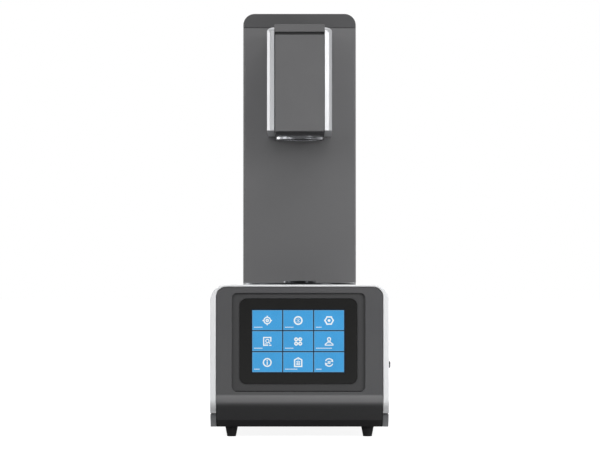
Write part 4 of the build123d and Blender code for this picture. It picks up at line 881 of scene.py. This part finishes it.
def makeScreenModule(m, s):
    # Panel can: rings of one rounded outline, set in and stepped in depth from back to lit face
    low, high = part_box("display_panel")
    front = s["glassRear"] + m["airGap"]
    lit = front + m["lipDepth"]
    rings = [
        (m["backRing"], high[1]), (m["fold"], high[1]), (0, high[1] - m["fold"]), (0, front + m["fold"] / 2),
        (m["fold"] / 2, front), (m["lip"], front), (m["lip"] + m["fall"], lit), (m["litRing"], lit),
    ]
    rows = []
    for inset, depth in rings:
        corner = max(m["corner"] - inset, m["leastCorner"])
        sides = low[0] + inset, high[0] - inset, low[2] + inset, high[2] - inset
        loop = roundedLoop(*sides, corner, m["cornerSteps"])
        rows.append(np.column_stack([loop[:, 0], np.full(len(loop), depth), loop[:, 1]]))
    count = len(rows[0])
    points = np.vstack(rows)
    faces = loopFaces(len(rows), count, closedColumns=True).tolist()
    faces.append(list(range(count)))
    faces.append(list(range(len(points) - 1, len(points) - 1 - count, -1)))
    piece = pieceFrom("screen_module", points, faces, coats["sheetSteel"], "instrument")
    piece.data.materials.append(gapLight)
    index = np.zeros(len(piece.data.polygons), dtype=np.int32)
    index[-2 - count:-2] = 1      # the ring inside the lip and the middle are lit
    index[-1] = 1
    piece.data.polygons.foreach_set("material_index", index)
    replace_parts(piece, "display_panel")
    return lit


litFace = makeScreenModule(module, screen)

menu = {
    "gap": 1.25 * mm,
    "rim": 0.5 * mm,
    "tileThickness": 0.08 * mm,
    "iconThickness": 0.08 * mm,
    "iconRise": -0.4 * mm,       # icons sit a little below the tile's middle
    "pen": 1.35,                 # width of an icon's line, in mm, as are the sizes of the bars below
    "barPitch": 1.15, "barLength": 0.8, "barPen": 1.0, "barLeft": 2.2, "barFoot": 3.5,
    "captions": [9.3, 9.3, 6.5, 10.0, 9.3, 19.0, 6.5, 14.5, 6.5],
}


def tileMiddles(m, s):
    # Three by three: a tile is the lit width, or height, less two gaps, over three, and its middle is
    # a tile and a gap from the next one's
    width = (s["size"][0] - 2 * m["gap"]) / 3
    height = (s["size"][1] - 2 * m["gap"]) / 3
    columns = [s["middle"][0] + i * (width + m["gap"]) for i in (-1, 0, 1)]
    rows = [s["middle"][1] + i * (height + m["gap"]) for i in (1, 0, -1)]
    return width, height, [(x, z) for z in rows for x in columns]


def makeTiles(m, s):
    # Each tile is a flat slab: its four corners are its middle plus and minus half its width and
    # height, at two depths; its lit rim is a ribbon round its own edge
    width, height, middles = tileMiddles(m, s)
    square = np.array([(-1, -1), (1, -1), (1, 1), (-1, 1)]) / 2
    centre = np.array(middles)[:, None, :]
    flat = (centre + square * [width, height]).reshape(-1, 2)
    depth = np.repeat([0.0, m["tileThickness"]], len(flat))
    both = np.vstack([flat, flat])
    points = np.column_stack([both[:, 0], litFace - depth, both[:, 1]])
    base = np.arange(len(middles))[:, None] * 4
    far = len(flat)
    sides = [np.hstack([base + a, base + b, base + b + far, base + a + far])
             for a, b in ((0, 1), (1, 2), (2, 3), (3, 0))]
    faces = np.vstack([base + np.array([0, 1, 2, 3]) + far, base + np.array([3, 2, 1, 0])] + sides)
    pieceFrom("menu_tiles", points, faces, tileLight, "instrument")
    loops = centre + square * [width - m["rim"], height - m["rim"]]
    flat, faces = slabMesh([stroke(loop, m["rim"], closed=True) for loop in loops], m["tileThickness"] / 2)
    points = onFront(flat, 0, 0, litFace - m["tileThickness"])
    pieceFrom("menu_tile_rims", points, faces, tileRimLight, "instrument")
    return middles


def iconShapes(pen):
    # Nine plain signs, drawn in mm round the tile's middle as ribbons of straight runs, and of arcs
    # whose points are the middle plus the radius times the angle's cosine and sine
    turn = np.radians(np.arange(6) * 60)
    hexagon = np.stack([5.0 * np.cos(turn), 5.0 * np.sin(turn)], axis=1)
    target = [
        stroke(arcPath(0, 0, 3.9, 0, 354, 60), pen, True),
        stroke(arcPath(0, 0, 1.35, 0, 345, 24), 1.5, True),
    ]
    target += [line(pen, (4.2 * x, 4.2 * y), (5.7 * x, 5.7 * y))
               for x, y in ((1, 0), (-1, 0), (0, 1), (0, -1))]
    dial = [stroke(arcPath(0, 0, 4.5, 0, 354, 60), pen * 1.3, True), blot(0, 0, 0.75)]
    dial += [line(0.9, (1.5 * x, 1.5 * y), (2.4 * x, 2.4 * y))
             for x, y in ((0.71, 0.71), (-0.71, 0.71), (0.71, -0.71), (-0.71, -0.71), (0, 1), (0, -1))]
    gear = [stroke(hexagon, pen * 1.15, True), blot(0, 0, 1.7)]
    gear += [line(pen * 1.4, (4.6 * x, 4.6 * y), (5.8 * x, 5.8 * y))
             for x, y in zip(np.cos(turn), np.sin(turn))]
    report = [
        line(pen, (1.2, -4.6), (-4.3, -4.6), (-4.3, 4.8), (4.3, 4.8), (4.3, -0.4)),
        stroke(arcPath(0.2, 0.6, 2.0, 0, 345, 32), 1.0, True),
        line(1.1, (1.6, -0.9), (3.4, -2.7)),
        line(pen, (2.4, -4.6), (5.0, -4.6)),
        line(0.8, (-2.9, -2.9), (0.6, -2.9)),
    ]
    samples = [stroke(arcPath(2.45 * x, 2.55 * y, 1.6, 0, 345, 32), pen * 1.2, True)
               for x in (-1, 1) for y in (-1, 1)]
    shoulders = [(-1.3, 1.9), (-1.1, -0.6), (-4.6, -3.3), (-4.6, -4.4)]
    shoulders += [(-x, y) for x, y in reversed(shoulders)]
    person = [
        stroke(arcPath(0, 2.9, 1.75, -40, 220, 32), pen * 0.9),
        stroke(shoulders, pen * 0.85),
        line(0.8, (0, 1.2), (0, -2.2)),
    ]
    info = [
        stroke(arcPath(0, 0, 4.6, 0, 354, 60), pen * 1.15, True), blot(0, 2.2, 0.85),
        line(1.35, (0, 0.9), (0, -2.9)),
    ]
    listing = [
        stroke([(-4.3, -4.8), (4.3, -4.8), (4.3, 3.1), (0, 5.4), (-4.3, 3.1)], pen * 1.1, True),
        line(0.8, (-2.5, -2.6), (2.5, -2.6)), line(0.8, (-2.5, -0.8), (2.5, -0.8)),
        line(0.8, (-2.5, 1.0), (2.5, 1.0)), line(0.6, (-0.9, -3.2), (-0.9, 1.6)),
        line(0.6, (1.2, -3.2), (1.2, 1.6)), blot(0, 3.1, 0.6),
    ]
    renew = [
        stroke(arcPath(0, 0, 4.5, 20, 160, 32), pen), stroke(arcPath(0, 0, 4.5, 200, 340, 32), pen),
        line(1.0, (4.1, 3.6), (4.4, 0.9), (1.9, 1.8)),
        line(1.0, (-4.1, -3.6), (-4.4, -0.9), (-1.9, -1.8)),
        stroke([(-1.3, -1.3), (1.3, -1.3), (1.3, 1.3), (-1.3, 1.3)], 0.7, True),
        line(0.6, (-1.3, 0), (1.3, 0)), line(0.6, (0, -1.3), (0, 1.3)),
    ]
    return {
        "icon_target": target, "icon_dial": dial, "icon_gear": gear, "icon_report": report,
        "icon_samples": samples, "icon_person": person, "icon_info": info, "icon_list": listing,
        "icon_renew": renew,
    }


def makeIcons(m, middles):
    # Each sign's slabs, in mm, move to their tile's middle, half a tile's thickness before its face.
    # Plain bars at an even pitch stand where each tile has its caption.
    depth = litFace - m["tileThickness"] * 1.5
    thickness = m["iconThickness"] / mm
    for (name, ribbons), (x, z) in zip(iconShapes(m["pen"]).items(), middles):
        flat, faces = slabMesh(ribbons, thickness)
        points = onFront(flat * mm, x, z + m["iconRise"], depth)
        pieceFrom(name, points, faces, iconLight, "instrument")
    width, height, _ = tileMiddles(m, screen)
    bars = []
    for (x, z), length in zip(middles, m["captions"]):
        foot = (z - height / 2) / mm + m["barFoot"]
        starts = (x - width / 2) / mm + m["barLeft"] + np.arange(0, length, m["barPitch"])
        bars += [line(m["barPen"], (a, foot), (a + m["barLength"], foot)) for a in starts]
    flat, faces = slabMesh(bars, thickness)
    points = onFront(flat * mm, 0, 0, depth)
    pieceFrom("menu_caption_bars", points, faces, iconLight, "instrument")


makeIcons(menu, makeTiles(menu, screen))
print("screen made")


# Small signs and screws
signs = {     # lengths in mm
    "thickness": 0.06,
    "standbyRadius": 1.9, "standbyArc": (128, 412), "standbyLine": (0.5, 2.5), "standbyPen": 0.42,
    "standbyPoints": 48,
    "buttonDish": 0.4,       # the sign lies this far inside the button's end
    "jackRise": 4.9, "jackLine": (3.2, 0.9), "jackDash": (0.7, -0.6), "jackDashes": (-2.5, 0, 2.5),
    "jackPen": 0.7,
}


def makeSigns(g):
    # Standby sign on the button's dish: an arc open at the top and a short upright, drawn in depth
    # and height about the button's axis
    foot, head = g["standbyLine"]
    flat, faces = slabMesh([
        stroke(arcPath(0, 0, g["standbyRadius"], *g["standbyArc"], g["standbyPoints"]), g["standbyPen"]),
        line(g["standbyPen"], (0, foot), (0, head)),
    ], g["thickness"])
    across, up, out = flat.T * mm
    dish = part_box("power_button")[1][0] - g["buttonDish"] * mm
    points = np.column_stack([dish + out, buttonAxis[0] + across, buttonAxis[1] + up])
    pieceFrom("button_sign", points, faces, coats["platePaint"], "button")
    # Direct-current sign over the power jack: a full line above three dashes, seen from the rear
    jackLow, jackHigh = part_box("power_jack")
    reach, lineRise = g["jackLine"]
    half, dashRise = g["jackDash"]
    ribbons = [line(g["jackPen"], (-reach, lineRise), (reach, lineRise))]
    ribbons += [line(g["jackPen"], (x - half, dashRise), (x + half, dashRise))
                for x in g["jackDashes"]]
    flat, faces = slabMesh(ribbons, g["thickness"])
    across, up, out = flat.T * mm
    middle = (jackLow[0] + jackHigh[0]) / 2
    height = jackHigh[2] + g["jackRise"] * mm
    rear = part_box("rear_panel")[1][1]
    points = np.column_stack([middle - across, rear + out, height + up])
    pieceFrom("jack_sign", points, faces, coats["shellPaint"], "instrument")


makeSigns(signs)

# In mm: radii of head, shank and socket, the head's rise over its seat, and the socket's depth
smallScrew = {"head": 2.75, "rise": 1.6, "shank": 1.4, "socket": 1.15, "socketDepth": 1.0}
mediumScrew = {"head": 3.6, "rise": 2.4, "shank": 1.9, "socket": 1.5, "socketDepth": 1.4}
screwForm = {
    "sides": 24,
    "crownTurn": 75, "crownRings": 6,    # degrees and rings of the dome
    "crownFit": 0.999, "crownBase": 0.45,     # its share of the head's radius, and its foot's of the rise
    "mouth": 1.35,                # the dome ends at this many socket radii
    "tip": 0.02, "tipShare": 0.8, "tipLength": 0.4,
    "drillPoint": 0.05, "drillDepth": 1.15,      # the socket's floor is a shallow cone
}


def socketScrew(s, length, g=screwForm):
    # Profile turned about the screw's axis: shank, flat under the head, domed crown and a six-sided
    # socket, whose radius at each angle is the flat's distance over the cosine to its middle
    count = g["sides"]
    angle = np.arange(count) * 2 * math.pi / count
    hexReach = s["socket"] / np.cos((angle + math.pi / 6) % (math.pi / 3) - math.pi / 6)
    turns = np.radians(np.linspace(0, g["crownTurn"], g["crownRings"]))
    crownRadius = s["head"] * np.cos(turns) * g["crownFit"]
    crownRadius[-1] = s["socket"] * g["mouth"]
    domed = g["crownBase"] + (1 - g["crownBase"]) * np.sin(turns) / math.sin(turns[-1])
    rings = [
        (g["tip"], -length), (s["shank"] * g["tipShare"], -length), (s["shank"], -length + g["tipLength"]),
        (s["shank"], 0), (s["head"], 0),
    ]
    rings += list(zip(crownRadius, s["rise"] * domed))
    radii, heights = [np.repeat(np.array(part)[:, None], count, axis=1) for part in zip(*rings)]
    top, floor = s["rise"], s["rise"] - s["socketDepth"]
    point = s["rise"] - s["socketDepth"] * g["drillDepth"]
    radii = np.vstack([radii, hexReach, hexReach, hexReach * g["drillPoint"]])
    heights = np.vstack([heights] + [np.full(count, level) for level in (top, floor, point)])
    points = np.stack([radii * np.cos(angle), radii * np.sin(angle), heights], axis=-1).reshape(-1, 3)
    rows = len(radii)
    faces = loopFaces(rows, count, closedColumns=True).tolist()
    faces.append(list(range(count - 1, -1, -1)))
    faces.append(list(range((rows - 1) * count, rows * count)))
    return points * mm, faces


facings = {      # what turns a screw whose head looks up
    "rear": np.array([[1, 0, 0], [0, 0, -1], [0, 1, 0]]),
    "up": np.eye(3),
    "down": np.array([[1, 0, 0], [0, -1, 0], [0, 0, -1]]),
}


def screwSet(name, node, screw, seats, facing, length):
    # Copies of one screw: its points times the turn of the way its head looks, plus each seat
    points, faces = socketScrew(screw, length / mm)
    turned = points @ facings[facing]
    allPoints = np.vstack([turned + np.array(seat) for seat in seats])
    allFaces = [[v + i * len(points) for v in face] for i in range(len(seats)) for face in faces]
    steel = coats["fastenerSteel"]
    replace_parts(pieceFrom(name, allPoints, allFaces, steel, "instrument"), node)


flatShare = math.cos(math.pi / 6)    # a six-sided head's flat sides lie this much nearer than its corners
stageScrewTurns = (60, 180, 300)     # degrees from the front


def cornerScrews(name, node, screw, facing, midway=False):
    # Screws at the corners of a node's box, and in a row midway where asked. The plain six-sided
    # heads have a corner along x and a flat side along the other direction, so an axis lies the head's
    # radius inside the one and that radius times the flat's share inside the other. A seat lies the
    # head's rise inside the box's outer end, and the shank takes the rest.
    low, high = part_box(node)
    head, rise = screw["head"] * mm, screw["rise"] * mm
    rear = facing == "rear"
    across, along = (2, 1) if rear else (1, 2)
    first = [low[0] + head, high[0] - head]
    second = [low[across] + head * flatShare, high[across] - head * flatShare]
    if midway:
        second.insert(1, (second[0] + second[1]) / 2)
    seat = high[1] - rise if rear else low[2] + rise
    seats = [(x, seat, s) if rear else (x, s, seat) for x in first for s in second]
    screwSet(name, node, screw, seats, facing, high[along] - low[along] - rise)


def makeScrews():
    # The stage's screws lie on a circle: the optical axis plus its radius times each turn's sine, and
    # less its radius times the cosine
    cornerScrews("rear_panel_screws", "rear_screws", smallScrew, "rear")
    cornerScrews("column_cover_screws", "cover_screws", smallScrew, "rear", midway=True)
    cornerScrews("head_plate_screws", "head_screws", smallScrew, "down")
    low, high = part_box("stage_screws")
    head, rise = smallScrew["head"] * mm, smallScrew["rise"] * mm
    turn = np.radians(stageScrewTurns)
    circle = high[1] - head * flatShare - opticalAxis[1]
    across, along = circle * np.sin(turn), opticalAxis[1] - circle * np.cos(turn)
    seats = [(x, y, high[2] - rise) for x, y in zip(across, along)]
    screwSet("stage_disc_screws", "stage_screws", smallScrew, seats, "up", high[2] - low[2] - rise)
    cornerScrews("tray_pillar_screws", "pillar_screws", mediumScrew, "down")


makeScrews()
print("signs and screws made")
